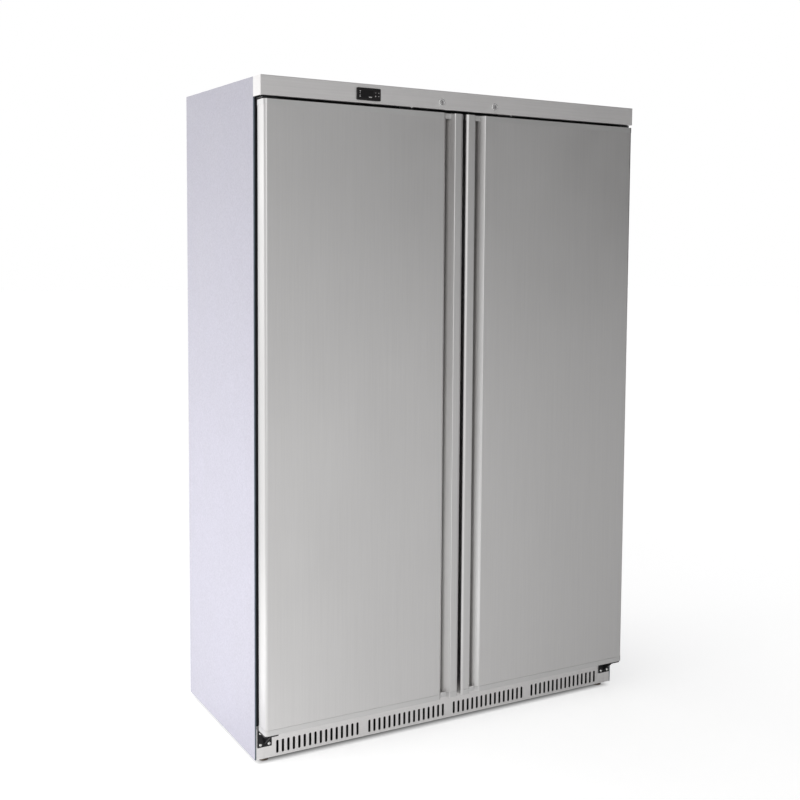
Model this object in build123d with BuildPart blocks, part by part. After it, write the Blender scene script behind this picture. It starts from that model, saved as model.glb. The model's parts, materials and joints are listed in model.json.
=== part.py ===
"""Two-door upright freezer cabinet, millimetres, +Z up, front towards -Y.

The origin lies on the floor under the middle of the cabinet's outer box.
"""

import os

from build123d import *

os.makedirs("parts", exist_ok=True)

# Cabinet body
CABINET_WIDTH = 1195.0
BODY_DEPTH = 600.0
BODY_HEIGHT = 1850.0
FOOT_HEIGHT = 12.0
SHEET = 1.0
BEND_RADIUS = 2.0
SIDE_FLANGE = 4.0
REAR_FLANGE = 20.0
FRAME_SHEET = 1.2
KICK_HEIGHT = 95.0

# Insulated walls and the two compartments
SIDE_WALL = 57.5
PARTITION = 110.0
REAR_WALL = 60.0
CEILING_WALL = 117.0
FLOOR_WALL = 50.0
STEP_WALL = 50.0
LINER = 2.5
LINER_CORNER = 25.0
LINER_EDGE = 18.0

# Machine compartment, low at the back
MACHINE_DEPTH = 215.0
MACHINE_HEIGHT = 287.0

# Doors
DOOR_STANDOFF = 13.0
DOOR_THICKNESS = 54.0
DOOR_SIDE_INSET = 7.5
DOOR_GAP = 11.0
DOOR_BOTTOM = 89.0
DOOR_TOP_GAP = 9.0
DOOR_SKIN = 0.8
DOOR_RETURN = 12.0
DOOR_CORNER = 7.0
CAP_HEIGHT = 15.0
CAP_PROUD = 1.6
CAP_GROOVE_DEPTH = 12.0

# Full-height handle groove, measured from the free edge of the door
LIP_WIDTH = 26.0
GROOVE_NEAR = 42.0
GROOVE_FAR = 46.0
GROOVE_MOUTH = 61.0
GROOVE_DEPTH = 32.0
GROOVE_KNEE = 50.0
GROOVE_KNEE_DEPTH = 15.0
GROOVE_KNEE_ROUND = 25.0
GROOVE_ROUND = 2.0
GROOVE_FLOOR_ROUND = 2.0
LIP_ROUND = 1.5

# Inner door panel and gasket
DOOR_LINER = 2.0
DOOR_LINER_MARGIN = 4.0
DYKE_CLEARANCE = 10.0
DYKE_WIDTH = 28.0
DYKE_REACH = 13.0
GASKET_INSET = 26.0
GASKET_WIDTH = 18.0
SEAL_GAP = 0.3

# Hinges
HINGE_INSET = 7.5
HINGE_SETBACK = 27.0
PIN_RADIUS = 4.0
PIN_CLEARANCE = 0.05
BUSH_WALL = 1.95
BUSH_DEPTH = 12.0
BUSH_FLANGE_WIDTH = 1.3
BUSH_FLANGE = 1.7
RUN_GAP = 0.3
HINGE_PLATE = 3.0
HINGE_TONGUE = 4.0
HINGE_WIDTH = 40.0
HINGE_SIDE_MARGIN = 7.0
LOWER_HINGE_DROP = 53.0
LOWER_TONGUE_REACH = 63.0
UPPER_TONGUE_REACH = 52.0
UPPER_HINGE_RISE = 40.0
UPPER_HINGE_GAP = 1.0
GUSSET = 4.0

# Control header
HEADER_PROJECTION = 58.5
HEADER_HEIGHT = 52.5
HEADER_SHEET = 1.2
HEADER_LIP = 14.0
HEADER_BRACKET_X = 161.0
HEADER_BRACKET_WIDTH = 30.0
HEADER_BRACKET_SHEET = 2.0

# Controller
CONTROLLER_X = -295.5
CONTROLLER_DROP = 28.0
CONTROLLER_WIDTH = 70.0
CONTROLLER_HEIGHT = 33.5
CONTROLLER_BEZEL = 5.0
CONTROLLER_CORNER = 3.0
CONTROLLER_BODY_DEPTH = 45.0
CONTROLLER_RIM = 2.5
WINDOW_WIDTH = 42.0
WINDOW_HEIGHT = 21.0
WINDOW_X = -9.0
WINDOW_DEPTH = 1.5
KEY_SIZE = 7.0
KEY_PITCH = 9.5
KEY_X = 23.5
KEY_PROUD = 0.8
KEY_TRAVEL = 0.8
KEY_DEPTH = 3.0
KEY_CLEARANCE = 0.3

# Door locks in the header
LEFT_LOCK_X = -71.0
RIGHT_LOCK_X = 101.0
LOCK_DROP = 32.5
LOCK_FLANGE_RADIUS = 10.0
LOCK_FLANGE = 3.0
LOCK_BODY_RADIUS = 8.5
LOCK_BODY_DEPTH = 20.0
PLUG_RADIUS = 6.0
PLUG_PROUD = 1.0
KEYHOLE_WIDTH = 2.0
KEYHOLE_HEIGHT = 7.0
KEYHOLE_DEPTH = 6.0
CAM_THICKNESS = 4.0
CAM_WIDTH = 12.0
CAM_REACH = 39.5
CAM_CLEARANCE = 2.0

# Kick grille
SLOT_WIDTH = 7.0
SLOT_LENGTH = 37.0
SLOT_PITCH = 15.93
SLOT_GROUPS = 4
SLOTS_PER_GROUP = 16
GROUP_GAP = 37.0
SLOT_BASE = 8.0
PANEL_CLEARANCE = 0.3

# Base rails and levelling feet
RAIL_SHEET = 2.0
RAIL_WIDTH = 66.0
RAIL_TOP_FLANGE = 30.0
RAIL_POST = 26.0
RAIL_REAR_GAP = 20.0
FOOT_INSET = 34.0
FRONT_FOOT_Y = 26.0
REAR_FOOT_Y = 378.0
FOOT_RADIUS = 13.0
FOOT_PAD = 9.0
FOOT_STEM_RADIUS = 5.0
FOOT_STEM_TOP = 47.0
FOOT_CLEARANCE = 0.05
FOOT_NUT_RADIUS = 9.0
FOOT_NUT_HEIGHT = 8.0

# Machine tray and cooling unit
TRAY_SHEET = 2.0
TRAY_LAP = 15.0
TRAY_REACH = 20.0
COMPRESSOR_X = 150.0
COMPRESSOR_RADIUS = 78.0
COMPRESSOR_HEIGHT = 165.0
COMPRESSOR_SHOULDER = 45.0
COMPRESSOR_PLATE = 3.0
COMPRESSOR_PLATE_WIDTH = 200.0
COMPRESSOR_PLATE_DEPTH = 130.0
MOUNT_RADIUS = 10.0
MOUNT_HEIGHT = 16.0
MOUNT_PITCH_X = 170.0
MOUNT_PITCH_Y = 100.0
TERMINAL_WIDTH = 30.0
TERMINAL_DEPTH = 70.0
TERMINAL_HEIGHT = 80.0
TERMINAL_LIFT = 45.0
CONDENSER_X = -330.0
CONDENSER_THICKNESS = 70.0
CONDENSER_WIDTH = 144.0
CONDENSER_HEIGHT = 210.0
FIN = 1.2
FIN_PITCH = 8.0
CONDENSER_TUBE_RADIUS = 5.0
SHROUD_SHEET = 2.0
FAN_RADIUS = 58.0
FAN_TIP_GAP = 4.0
FAN_HUB_RADIUS = 20.0
FAN_WIDTH = 22.0
FAN_BLADES = 5
BLADE_SHEET = 2.0
BLADE_PITCH_DEG = 35.0
BLADE_ROOT_SINK = 6.0
MOTOR_RADIUS = 32.0
MOTOR_LENGTH = 55.0
MOTOR_GAP = 6.0
SHAFT_RADIUS = 4.0
SHAFT_CLEARANCE = 0.05
SPIDER_WIDTH = 10.0
PIPE_RADIUS = 4.0
PIPE_BEND = 12.0
PIPE_LEG = 14.0
PIPE_SETBACK = 40.0
PIPE_RISE = 23.5
DRIER_RADIUS = 12.0
DRIER_LENGTH = 90.0
DRIER_NECK = 15.0

# Rear machine cover and mains gland
COVER_RECESS = 14.0
COVER_SIDE_MARGIN = 7.5
COVER_SLOT_LENGTH = 60.0
COVER_SLOTS = 24
COVER_SLOT_PITCH = 18.0
COVER_ROWS = 3
COVER_ROW_PITCH = 80.0
GLAND_INSET = 117.5
GLAND_Z = 59.0
GLAND_RADIUS = 11.0
GLAND_BORE = 4.5
GLAND_NECK = 8.0
GLAND_LENGTH = 13.0
GLAND_TAIL = 10.0

# Evaporator shelves
SHELF_COUNT = 5
LOWEST_SHELF = 409.0
SHELF_PITCH = 265.0
SHELF_SIDE_GAP = 3.0
SHELF_FRONT_GAP = 40.0
SHELF_REAR_GAP = 28.0
WIRE = 3.0
WIRE_GAPS = 18
WIRE_COLUMNS = 2
SHELF_BORDER = 8.0
LEDGE_REACH = 14.0
LEDGE_HEIGHT = 10.0
TUBE_RADIUS = 4.0
TUBE_RUNS = 8
TUBE_PITCH = 50.0
TUBE_END_MARGIN = 24.0
TUBE_TURN_STRAIGHT = 1.0
TUBE_WELD_GAP = 0.05
RISER_BEND = 10.0
RISER_LEG = 12.0

# Screws
SCREW_RADIUS = 2.0
SCREW_HEAD_RADIUS = 4.0
SCREW_HEAD = 2.5
SCREW_MARGIN = 8.0

# Planes and levels worked out from the sizes above
HALF_WIDTH = CABINET_WIDTH / 2
TOTAL_DEPTH = BODY_DEPTH + DOOR_STANDOFF + DOOR_THICKNESS + CAP_PROUD
BACK_Y = TOTAL_DEPTH / 2
FRONT_Y = BACK_Y - BODY_DEPTH
DOOR_BACK_Y = FRONT_Y - DOOR_STANDOFF
DOOR_FRONT_Y = DOOR_BACK_Y - DOOR_THICKNESS
HEADER_FRONT_Y = FRONT_Y - HEADER_PROJECTION
BODY_Z = FOOT_HEIGHT
TOP_Z = BODY_Z + BODY_HEIGHT
HEADER_Z = TOP_Z - HEADER_HEIGHT
DOOR_Z = BODY_Z + DOOR_BOTTOM
DOOR_TOP_Z = HEADER_Z - DOOR_TOP_GAP
FLOOR_Z = BODY_Z + KICK_HEIGHT
MACHINE_FRONT_Y = BACK_Y - MACHINE_DEPTH
MACHINE_TOP_Z = BODY_Z + MACHINE_HEIGHT
INNER_X = HALF_WIDTH - SHEET
FOAM_FRONT_Y = FRONT_Y + FRAME_SHEET
FOAM_BACK_Y = BACK_Y - SHEET
PANEL_X = HALF_WIDTH - SIDE_FLANGE - PANEL_CLEARANCE
POST_X = HALF_WIDTH - RAIL_POST
RAIL_FRONT_Y = FRONT_Y + FRAME_SHEET + PANEL_CLEARANCE

CELL_OUTER_X = -HALF_WIDTH + SIDE_WALL
CELL_INNER_X = -PARTITION / 2
CELL_FLOOR_Z = FLOOR_Z + FLOOR_WALL
CELL_TOP_Z = TOP_Z - CEILING_WALL
CELL_BACK_Y = BACK_Y - REAR_WALL
CELL_STEP_Y = MACHINE_FRONT_Y - STEP_WALL
CELL_STEP_Z = MACHINE_TOP_Z + STEP_WALL

DOOR_OUTER_X = -HALF_WIDTH + DOOR_SIDE_INSET
DOOR_FREE_X = -DOOR_GAP / 2
SKIN_Z = DOOR_Z + CAP_HEIGHT
SKIN_TOP_Z = DOOR_TOP_Z - CAP_HEIGHT
DOOR_PANEL_Y = DOOR_BACK_Y + DOOR_LINER
HINGE_X = DOOR_OUTER_X + HINGE_INSET
HINGE_Y = DOOR_FRONT_Y + HINGE_SETBACK

LOWER_TONGUE_Z = DOOR_Z - BUSH_FLANGE - RUN_GAP
UPPER_TONGUE_Z = DOOR_TOP_Z + BUSH_FLANGE + UPPER_HINGE_GAP
HINGE_OUTER_X = -HALF_WIDTH + HINGE_SIDE_MARGIN
HINGE_END_X = HINGE_OUTER_X + HINGE_WIDTH
LOCK_Z = TOP_Z - LOCK_DROP
CAM_Y = HEADER_FRONT_Y + LOCK_BODY_DEPTH + RUN_GAP
CONTROLLER_Z = TOP_Z - CONTROLLER_DROP
BEZEL_Y = HEADER_FRONT_Y - CONTROLLER_BEZEL
MACHINE_MID_Y = (MACHINE_FRONT_Y + BACK_Y - COVER_RECESS - SHEET) / 2
TRAY_Z = BODY_Z + RAIL_SHEET + TRAY_SHEET
FAN_Z = TRAY_Z + CONDENSER_HEIGHT / 2
SHROUD_X = CONDENSER_X + CONDENSER_THICKNESS
FAN_X = SHROUD_X + SHROUD_SHEET + FAN_TIP_GAP
COVER_Y = BACK_Y - COVER_RECESS - SHEET
GLAND_X = HALF_WIDTH - GLAND_INSET
RAIL_END_Y = BACK_Y - RAIL_REAR_GAP
SHELF_LEVELS = [LOWEST_SHELF + SHELF_PITCH * level for level in range(SHELF_COUNT)]
SHELF_FRONT_Y = FRONT_Y + SHELF_FRONT_GAP
SHELF_BACK_Y = CELL_BACK_Y - SHELF_REAR_GAP


def save(piece, name):
    """Label a finished piece and write it as its own file."""
    piece.label = name
    export_step(piece, f"parts/{name}.step")


def span_box(x, y, z, mode=Mode.ADD):
    """Box between two limits on each axis, in the part being built."""
    with Locations(((x[0] + x[1]) / 2, (y[0] + y[1]) / 2, (z[0] + z[1]) / 2)):
        Box(x[1] - x[0], y[1] - y[0], z[1] - z[0], mode=mode)


def rod(start, axis, radius, length, mode=Mode.ADD):
    """Round rod that begins at a point and runs along an axis."""
    with Locations(Plane(origin=start, z_dir=axis)):
        Cylinder(radius, length, align=(Align.CENTER, Align.CENTER, Align.MIN), mode=mode)


def mirrored(piece):
    """The right-hand twin of a left-hand piece."""
    return mirror(piece, about=Plane.YZ)


def save_pair(piece, name):
    """Write a left-hand piece and its right-hand twin."""
    save(mirrored(piece), f"right_{name}")
    save(piece, f"left_{name}")


def lower_screw_places():
    """Places of the three screws of the left lower hinge plate."""
    low = LOWER_TONGUE_Z - LOWER_HINGE_DROP + SCREW_MARGIN
    high = LOWER_TONGUE_Z - HINGE_TONGUE - SCREW_MARGIN
    near = HINGE_OUTER_X + SCREW_MARGIN
    far = HINGE_END_X - SCREW_MARGIN
    return [(near, low), (near, high), (far, low)]


def upper_screw_places():
    """Places of the two screws of the left upper hinge plate."""
    high = UPPER_TONGUE_Z + UPPER_HINGE_RISE - SCREW_MARGIN
    return [(HINGE_OUTER_X + SCREW_MARGIN, high), (HINGE_END_X - SCREW_MARGIN, high)]


def hinge_screw_holes(places):
    """Cut screw holes of both hinges through whatever lies at the body's front."""
    for x, z in places:
        for side in (x, -x):
            start = (side, FRONT_Y - HINGE_PLATE, z)
            rod(start, (0, 1, 0), SCREW_RADIUS, HINGE_PLATE + RAIL_SHEET, Mode.SUBTRACT)


# Outer shell
def side_panel():
    """Left side sheet with a narrow front return and a rear one, which end under the lid."""
    with BuildPart() as panel:
        with BuildSketch(Plane.XY.offset(BODY_Z)):
            with BuildLine():
                Polyline(
                    (-HALF_WIDTH + SIDE_FLANGE, FRONT_Y),
                    (-HALF_WIDTH, FRONT_Y),
                    (-HALF_WIDTH, BACK_Y),
                    (-HALF_WIDTH + REAR_FLANGE, BACK_Y),
                    (-HALF_WIDTH + REAR_FLANGE, BACK_Y - SHEET),
                    (-INNER_X, BACK_Y - SHEET),
                    (-INNER_X, FRONT_Y + SHEET),
                    (-HALF_WIDTH + SIDE_FLANGE, FRONT_Y + SHEET),
                    close=True,
                )
            make_face()
        extrude(amount=BODY_HEIGHT)
        fillet(panel.edges().filter_by(Axis.Z).group_by(Axis.X)[0], BEND_RADIUS)
        span_box((-INNER_X, 0), (FRONT_Y, BACK_Y), (TOP_Z - SHEET, TOP_Z), Mode.SUBTRACT)
    return panel.part


def top_panel():
    """Flat lid sheet between the side panels."""
    with BuildPart() as panel:
        span_box((-INNER_X, INNER_X), (FRONT_Y, BACK_Y), (TOP_Z - SHEET, TOP_Z))
    return panel.part


def rear_panel():
    """Back sheet above the machine compartment."""
    x = HALF_WIDTH - REAR_FLANGE - PANEL_CLEARANCE
    with BuildPart() as panel:
        span_box((-x, x), (FOAM_BACK_Y, BACK_Y), (MACHINE_TOP_Z, TOP_Z - SHEET))
    return panel.part


def floor_pan():
    """Folded sheet under the insulation, stepped up over the machine compartment."""
    with BuildPart() as pan:
        with BuildSketch(Plane.YZ):
            with BuildLine():
                Polyline(
                    (FOAM_FRONT_Y, FLOOR_Z),
                    (MACHINE_FRONT_Y, FLOOR_Z),
                    (MACHINE_FRONT_Y, MACHINE_TOP_Z),
                    (FOAM_BACK_Y, MACHINE_TOP_Z),
                    (FOAM_BACK_Y, MACHINE_TOP_Z + SHEET),
                    (MACHINE_FRONT_Y - SHEET, MACHINE_TOP_Z + SHEET),
                    (MACHINE_FRONT_Y - SHEET, FLOOR_Z + SHEET),
                    (FOAM_FRONT_Y, FLOOR_Z + SHEET),
                    close=True,
                )
            make_face()
        extrude(amount=INNER_X, both=True)
    return pan.part


def compartment(inward):
    """Rounded hollow of the left compartment, drawn in from its foam face by a wall."""
    with BuildPart() as hollow:
        with BuildSketch(Plane.YZ.offset(CELL_OUTER_X + inward)):
            with BuildLine():
                FilletPolyline(
                    (FRONT_Y, CELL_FLOOR_Z + inward),
                    (CELL_STEP_Y - inward, CELL_FLOOR_Z + inward),
                    (CELL_STEP_Y - inward, CELL_STEP_Z + inward),
                    (CELL_BACK_Y - inward, CELL_STEP_Z + inward),
                    (CELL_BACK_Y - inward, CELL_TOP_Z - inward),
                    (FRONT_Y, CELL_TOP_Z - inward),
                    radius=[
                        0,
                        LINER_CORNER - inward,
                        LINER_CORNER + inward,
                        LINER_CORNER - inward,
                        LINER_CORNER - inward,
                        0,
                    ],
                    close=True,
                )
            make_face()
        extrude(amount=CELL_INNER_X - CELL_OUTER_X - 2 * inward)
        ends = hollow.faces().filter_by(Axis.X).edges()
        front = hollow.faces().sort_by(Axis.Y)[0].edges()
        fillet(ends - front, LINER_EDGE - inward)
    return hollow.part


def insulation():
    """One block of foam between the shell and the two liners."""
    left_cell = compartment(0)
    right_cell = mirrored(left_cell)
    with BuildPart() as foam:
        with BuildSketch(Plane.YZ):
            with BuildLine():
                Polyline(
                    (FOAM_FRONT_Y, FLOOR_Z + SHEET),
                    (MACHINE_FRONT_Y - SHEET, FLOOR_Z + SHEET),
                    (MACHINE_FRONT_Y - SHEET, MACHINE_TOP_Z + SHEET),
                    (FOAM_BACK_Y, MACHINE_TOP_Z + SHEET),
                    (FOAM_BACK_Y, TOP_Z - SHEET),
                    (FOAM_FRONT_Y, TOP_Z - SHEET),
                    close=True,
                )
            make_face()
        extrude(amount=INNER_X, both=True)
        add(left_cell, mode=Mode.SUBTRACT)
        add(right_cell, mode=Mode.SUBTRACT)
    return foam.part


def liner():
    """Left moulded liner with a pair of ledges for each shelf."""
    inside = compartment(LINER)
    left = CELL_OUTER_X + LINER
    right = CELL_INNER_X - LINER
    depth = (SHELF_FRONT_Y, SHELF_BACK_Y)
    with BuildPart() as shell:
        add(compartment(0))
        add(inside, mode=Mode.SUBTRACT)
        for level in SHELF_LEVELS:
            height = (level - LEDGE_HEIGHT, level)
            span_box((left - LINER / 2, left + LEDGE_REACH), depth, height)
            span_box((right - LEDGE_REACH, right + LINER / 2), depth, height)
    return shell.part


def front_frame():
    """Steel seal face round both compartments, between the side returns."""
    with BuildPart() as frame:
        with BuildSketch(Plane.XZ.offset(-FRONT_Y)):
            with Locations((0, (FLOOR_Z + TOP_Z - SHEET) / 2)):
                Rectangle(2 * PANEL_X, TOP_Z - SHEET - FLOOR_Z)
            middle = ((CELL_OUTER_X + CELL_INNER_X) / 2, (CELL_FLOOR_Z + CELL_TOP_Z) / 2)
            with Locations(middle, (-middle[0], middle[1])):
                Rectangle(
                    CELL_INNER_X - CELL_OUTER_X,
                    CELL_TOP_Z - CELL_FLOOR_Z,
                    mode=Mode.SUBTRACT,
                )
        extrude(amount=-FRAME_SHEET)
        hinge_screw_holes(upper_screw_places())
    return frame.part


# Front trim and base
def header_panel():
    """Folded control fascia, open behind and below apart from a front lip."""
    inner_x = HALF_WIDTH - HEADER_SHEET
    inner_y = HEADER_FRONT_Y + HEADER_SHEET
    inner_z = (HEADER_Z + HEADER_SHEET, TOP_Z - HEADER_SHEET)
    behind_lip = HEADER_FRONT_Y + HEADER_LIP
    body = controller_body_size(PANEL_CLEARANCE)
    with BuildPart() as header:
        span_box((-HALF_WIDTH, HALF_WIDTH), (HEADER_FRONT_Y, FRONT_Y), (HEADER_Z, TOP_Z))
        fillet(header.edges().filter_by(Axis.X).group_by(Axis.Y)[0], BEND_RADIUS)
        span_box((-inner_x, inner_x), (inner_y, FRONT_Y), inner_z, Mode.SUBTRACT)
        span_box((-inner_x, inner_x), (behind_lip, FRONT_Y), (HEADER_Z, inner_z[0]), Mode.SUBTRACT)
        with Locations((CONTROLLER_X, HEADER_FRONT_Y + HEADER_SHEET / 2, CONTROLLER_Z)):
            Box(body[0], HEADER_SHEET, body[1], mode=Mode.SUBTRACT)
        for x in (LEFT_LOCK_X, RIGHT_LOCK_X):
            start = (x, HEADER_FRONT_Y, LOCK_Z)
            rod(start, (0, 1, 0), LOCK_BODY_RADIUS, HEADER_SHEET, Mode.SUBTRACT)
        for x in (-HEADER_BRACKET_X, HEADER_BRACKET_X):
            start = (x, HEADER_FRONT_Y + HEADER_LIP / 2, HEADER_Z)
            rod(start, (0, 0, 1), SCREW_RADIUS, HEADER_SHEET, Mode.SUBTRACT)
    return header.part


def header_brackets():
    """Two angles that hold the fascia's lip to the body."""
    seat = HEADER_Z + HEADER_SHEET
    top = TOP_Z - HEADER_SHEET - PANEL_CLEARANCE
    reach = (HEADER_FRONT_Y + HEADER_SHEET + PANEL_CLEARANCE, FRONT_Y)
    upright = (FRONT_Y - HEADER_BRACKET_SHEET, FRONT_Y)
    with BuildPart() as brackets:
        for x in (-HEADER_BRACKET_X, HEADER_BRACKET_X):
            width = (x - HEADER_BRACKET_WIDTH / 2, x + HEADER_BRACKET_WIDTH / 2)
            span_box(width, reach, (seat, seat + HEADER_BRACKET_SHEET))
            span_box(width, upright, (seat, top))
            start = (x, HEADER_FRONT_Y + HEADER_LIP / 2, seat)
            rod(start, (0, 0, 1), SCREW_RADIUS, HEADER_BRACKET_SHEET, Mode.SUBTRACT)
    return brackets.part


def kick_grille():
    """Plinth plate with four groups of upright slots."""
    group_span = SLOT_PITCH * (SLOTS_PER_GROUP - 1) + GROUP_GAP
    with BuildPart() as grille:
        with BuildSketch(Plane.XZ.offset(-FRONT_Y)):
            with Locations((0, (BODY_Z + FLOOR_Z) / 2)):
                Rectangle(2 * (POST_X - PANEL_CLEARANCE), KICK_HEIGHT)
            with Locations((0, BODY_Z + SLOT_BASE + SLOT_LENGTH / 2)):
                with GridLocations(group_span, 0, SLOT_GROUPS, 1):
                    with GridLocations(SLOT_PITCH, 0, SLOTS_PER_GROUP, 1):
                        SlotOverall(SLOT_LENGTH, SLOT_WIDTH, rotation=90, mode=Mode.SUBTRACT)
        extrude(amount=-FRAME_SHEET)
        hinge_screw_holes(lower_screw_places())
    return grille.part


def foot_places():
    """Plan places of the two left feet."""
    x = FOOT_INSET - HALF_WIDTH
    return [(x, FRONT_Y + FRONT_FOOT_Y), (x, FRONT_Y + REAR_FOOT_Y)]


def base_rail():
    """Left floor channel with a nut for each foot and a front post beside the grille."""
    run = (RAIL_FRONT_Y, RAIL_END_Y)
    with BuildPart() as rail:
        span_box((-INNER_X, -INNER_X + RAIL_SHEET), run, (BODY_Z, FLOOR_Z))
        span_box((-INNER_X, -INNER_X + RAIL_WIDTH), run, (BODY_Z, BODY_Z + RAIL_SHEET))
        span_box((-INNER_X, -INNER_X + RAIL_TOP_FLANGE), run, (FLOOR_Z - RAIL_SHEET, FLOOR_Z))
        span_box((-PANEL_X, -POST_X), (FRONT_Y, FRONT_Y + RAIL_SHEET), (BODY_Z, FLOOR_Z))
        hinge_screw_holes(lower_screw_places())
        for x, y in foot_places():
            seat = (x, y, BODY_Z + RAIL_SHEET)
            rod(seat, (0, 0, 1), FOOT_NUT_RADIUS, FOOT_NUT_HEIGHT)
            bore = FOOT_STEM_RADIUS + FOOT_CLEARANCE
            rod((x, y, BODY_Z), (0, 0, 1), bore, RAIL_SHEET + FOOT_NUT_HEIGHT, Mode.SUBTRACT)
    return rail.part


def levelling_foot(x, y):
    """Foot pad on its stem."""
    with BuildPart() as foot:
        with BuildSketch(Plane(origin=(x, y, 0), x_dir=(1, 0, 0), z_dir=(0, -1, 0))):
            with BuildLine():
                Polyline(
                    (0, 0),
                    (FOOT_RADIUS, 0),
                    (FOOT_RADIUS, FOOT_PAD / 2),
                    (FOOT_RADIUS / 2, FOOT_PAD),
                    (FOOT_STEM_RADIUS, FOOT_PAD),
                    (FOOT_STEM_RADIUS, FOOT_STEM_TOP),
                    (0, FOOT_STEM_TOP),
                    close=True,
                )
            make_face()
        revolve(axis=Axis((x, y, 0), (0, 0, 1)))
    return foot.part


# Doors
def door_outline():
    """Plan of the left door with its handle groove."""
    front = DOOR_FRONT_Y
    knee = DOOR_FRONT_Y + GROOVE_KNEE_DEPTH
    floor = DOOR_FRONT_Y + GROOVE_DEPTH
    with BuildSketch() as plan:
        with BuildLine():
            FilletPolyline(
                (DOOR_OUTER_X, DOOR_BACK_Y),
                (DOOR_OUTER_X, front),
                (DOOR_FREE_X - GROOVE_MOUTH, front),
                (DOOR_FREE_X - GROOVE_KNEE, knee),
                (DOOR_FREE_X - GROOVE_FAR, floor),
                (DOOR_FREE_X - GROOVE_NEAR, floor),
                (DOOR_FREE_X - LIP_WIDTH, front),
                (DOOR_FREE_X, front),
                (DOOR_FREE_X, DOOR_BACK_Y),
                radius=[
                    BEND_RADIUS,
                    DOOR_CORNER,
                    GROOVE_ROUND,
                    GROOVE_KNEE_ROUND,
                    GROOVE_FLOOR_ROUND,
                    GROOVE_FLOOR_ROUND,
                    LIP_ROUND,
                    DOOR_CORNER,
                    BEND_RADIUS,
                ],
                close=True,
            )
        make_face()
    return plan.sketch


def door_skin(plan, filling):
    """Folded steel outside of the left door, open at the back between its returns."""
    opening = (DOOR_OUTER_X + DOOR_RETURN, DOOR_FREE_X - DOOR_RETURN)
    with BuildPart() as skin:
        with BuildSketch(Plane.XY.offset(SKIN_Z)):
            add(plan)
            add(filling, mode=Mode.SUBTRACT)
        extrude(amount=SKIN_TOP_Z - SKIN_Z)
        depth = (DOOR_BACK_Y - DOOR_SKIN, DOOR_BACK_Y)
        span_box(opening, depth, (SKIN_Z, SKIN_TOP_Z), Mode.SUBTRACT)
    return skin.part


def dyke_limits():
    """Limits in X and Z of the raised rim on the left door's inner panel."""
    inset = LINER + DYKE_CLEARANCE
    return (
        (CELL_OUTER_X + inset, CELL_INNER_X - inset),
        (CELL_FLOOR_Z + inset, CELL_TOP_Z - inset),
    )


def door_ring(x, z, width, y_start, y_end):
    """Upright rectangular ring, as wide as given, between two depths."""
    middle = ((x[0] + x[1]) / 2, (z[0] + z[1]) / 2)
    with BuildPart() as ring:
        with BuildSketch(Plane.XZ.offset(-y_start)):
            with Locations(middle):
                Rectangle(x[1] - x[0], z[1] - z[0])
                Rectangle(x[1] - x[0] - 2 * width, z[1] - z[0] - 2 * width, mode=Mode.SUBTRACT)
        extrude(amount=y_start - y_end)
    return ring.part


def dyke_filling():
    """Foam ridge inside the raised rim."""
    (x0, x1), (z0, z1) = dyke_limits()
    return door_ring(
        (x0 + DOOR_LINER, x1 - DOOR_LINER),
        (z0 + DOOR_LINER, z1 - DOOR_LINER),
        DYKE_WIDTH - 2 * DOOR_LINER,
        DOOR_BACK_Y,
        FRONT_Y + DYKE_REACH - DOOR_LINER,
    )


def door_core(filling):
    """Foam of the left door."""
    opening = (DOOR_OUTER_X + DOOR_RETURN, DOOR_FREE_X - DOOR_RETURN)
    with BuildPart() as core:
        with BuildSketch(Plane.XY.offset(SKIN_Z)):
            add(filling)
        extrude(amount=SKIN_TOP_Z - SKIN_Z)
        depth = (DOOR_BACK_Y - DOOR_SKIN, DOOR_BACK_Y)
        span_box(opening, depth, (SKIN_Z, SKIN_TOP_Z))
        add(dyke_filling())
    return core.part


def door_panel():
    """Moulded inner panel of the left door with its raised rim."""
    x = (DOOR_OUTER_X + DOOR_LINER_MARGIN, DOOR_FREE_X - DOOR_LINER_MARGIN)
    z = (DOOR_Z + DOOR_LINER_MARGIN, DOOR_TOP_Z - DOOR_LINER_MARGIN)
    rim_x, rim_z = dyke_limits()
    with BuildPart() as panel:
        span_box(x, (DOOR_BACK_Y, DOOR_PANEL_Y), z)
        add(door_ring(rim_x, rim_z, DYKE_WIDTH, DOOR_BACK_Y, FRONT_Y + DYKE_REACH))
        add(dyke_filling(), mode=Mode.SUBTRACT)
    return panel.part


def door_gasket():
    """Sealing strip round the left door, just clear of the seal face."""
    x = (DOOR_OUTER_X + GASKET_INSET, DOOR_FREE_X - GASKET_INSET)
    z = (DOOR_Z + GASKET_INSET, DOOR_TOP_Z - GASKET_INSET)
    return door_ring(x, z, GASKET_WIDTH, DOOR_PANEL_Y, FRONT_Y - SEAL_GAP)


def door_cap(plan, base_z):
    """Moulded end of the left door, a little proud of its skin, with a shallow run-out of the groove."""
    x = (DOOR_OUTER_X - CAP_PROUD, DOOR_FREE_X + CAP_PROUD)
    z = (base_z, base_z + CAP_HEIGHT)
    groove_x = (DOOR_FREE_X - GROOVE_MOUTH, DOOR_FREE_X - LIP_WIDTH)
    groove_back = (DOOR_FRONT_Y + CAP_GROOVE_DEPTH, DOOR_BACK_Y)
    with BuildPart() as cap:
        with BuildSketch(Plane.XY.offset(base_z)):
            add(plan)
        extrude(amount=CAP_HEIGHT)
        span_box(groove_x, groove_back, z)
        span_box(x, (DOOR_BACK_Y, DOOR_BACK_Y + CAP_PROUD), z, Mode.SUBTRACT)
    return cap.part


def bottom_cap(plan):
    """Left door's lower end with the seat of its bush."""
    with BuildPart() as cap:
        add(door_cap(plan, DOOR_Z))
        rod((HINGE_X, HINGE_Y, DOOR_Z), (0, 0, 1), bush_radius(), BUSH_DEPTH, Mode.SUBTRACT)
    return cap.part


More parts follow.
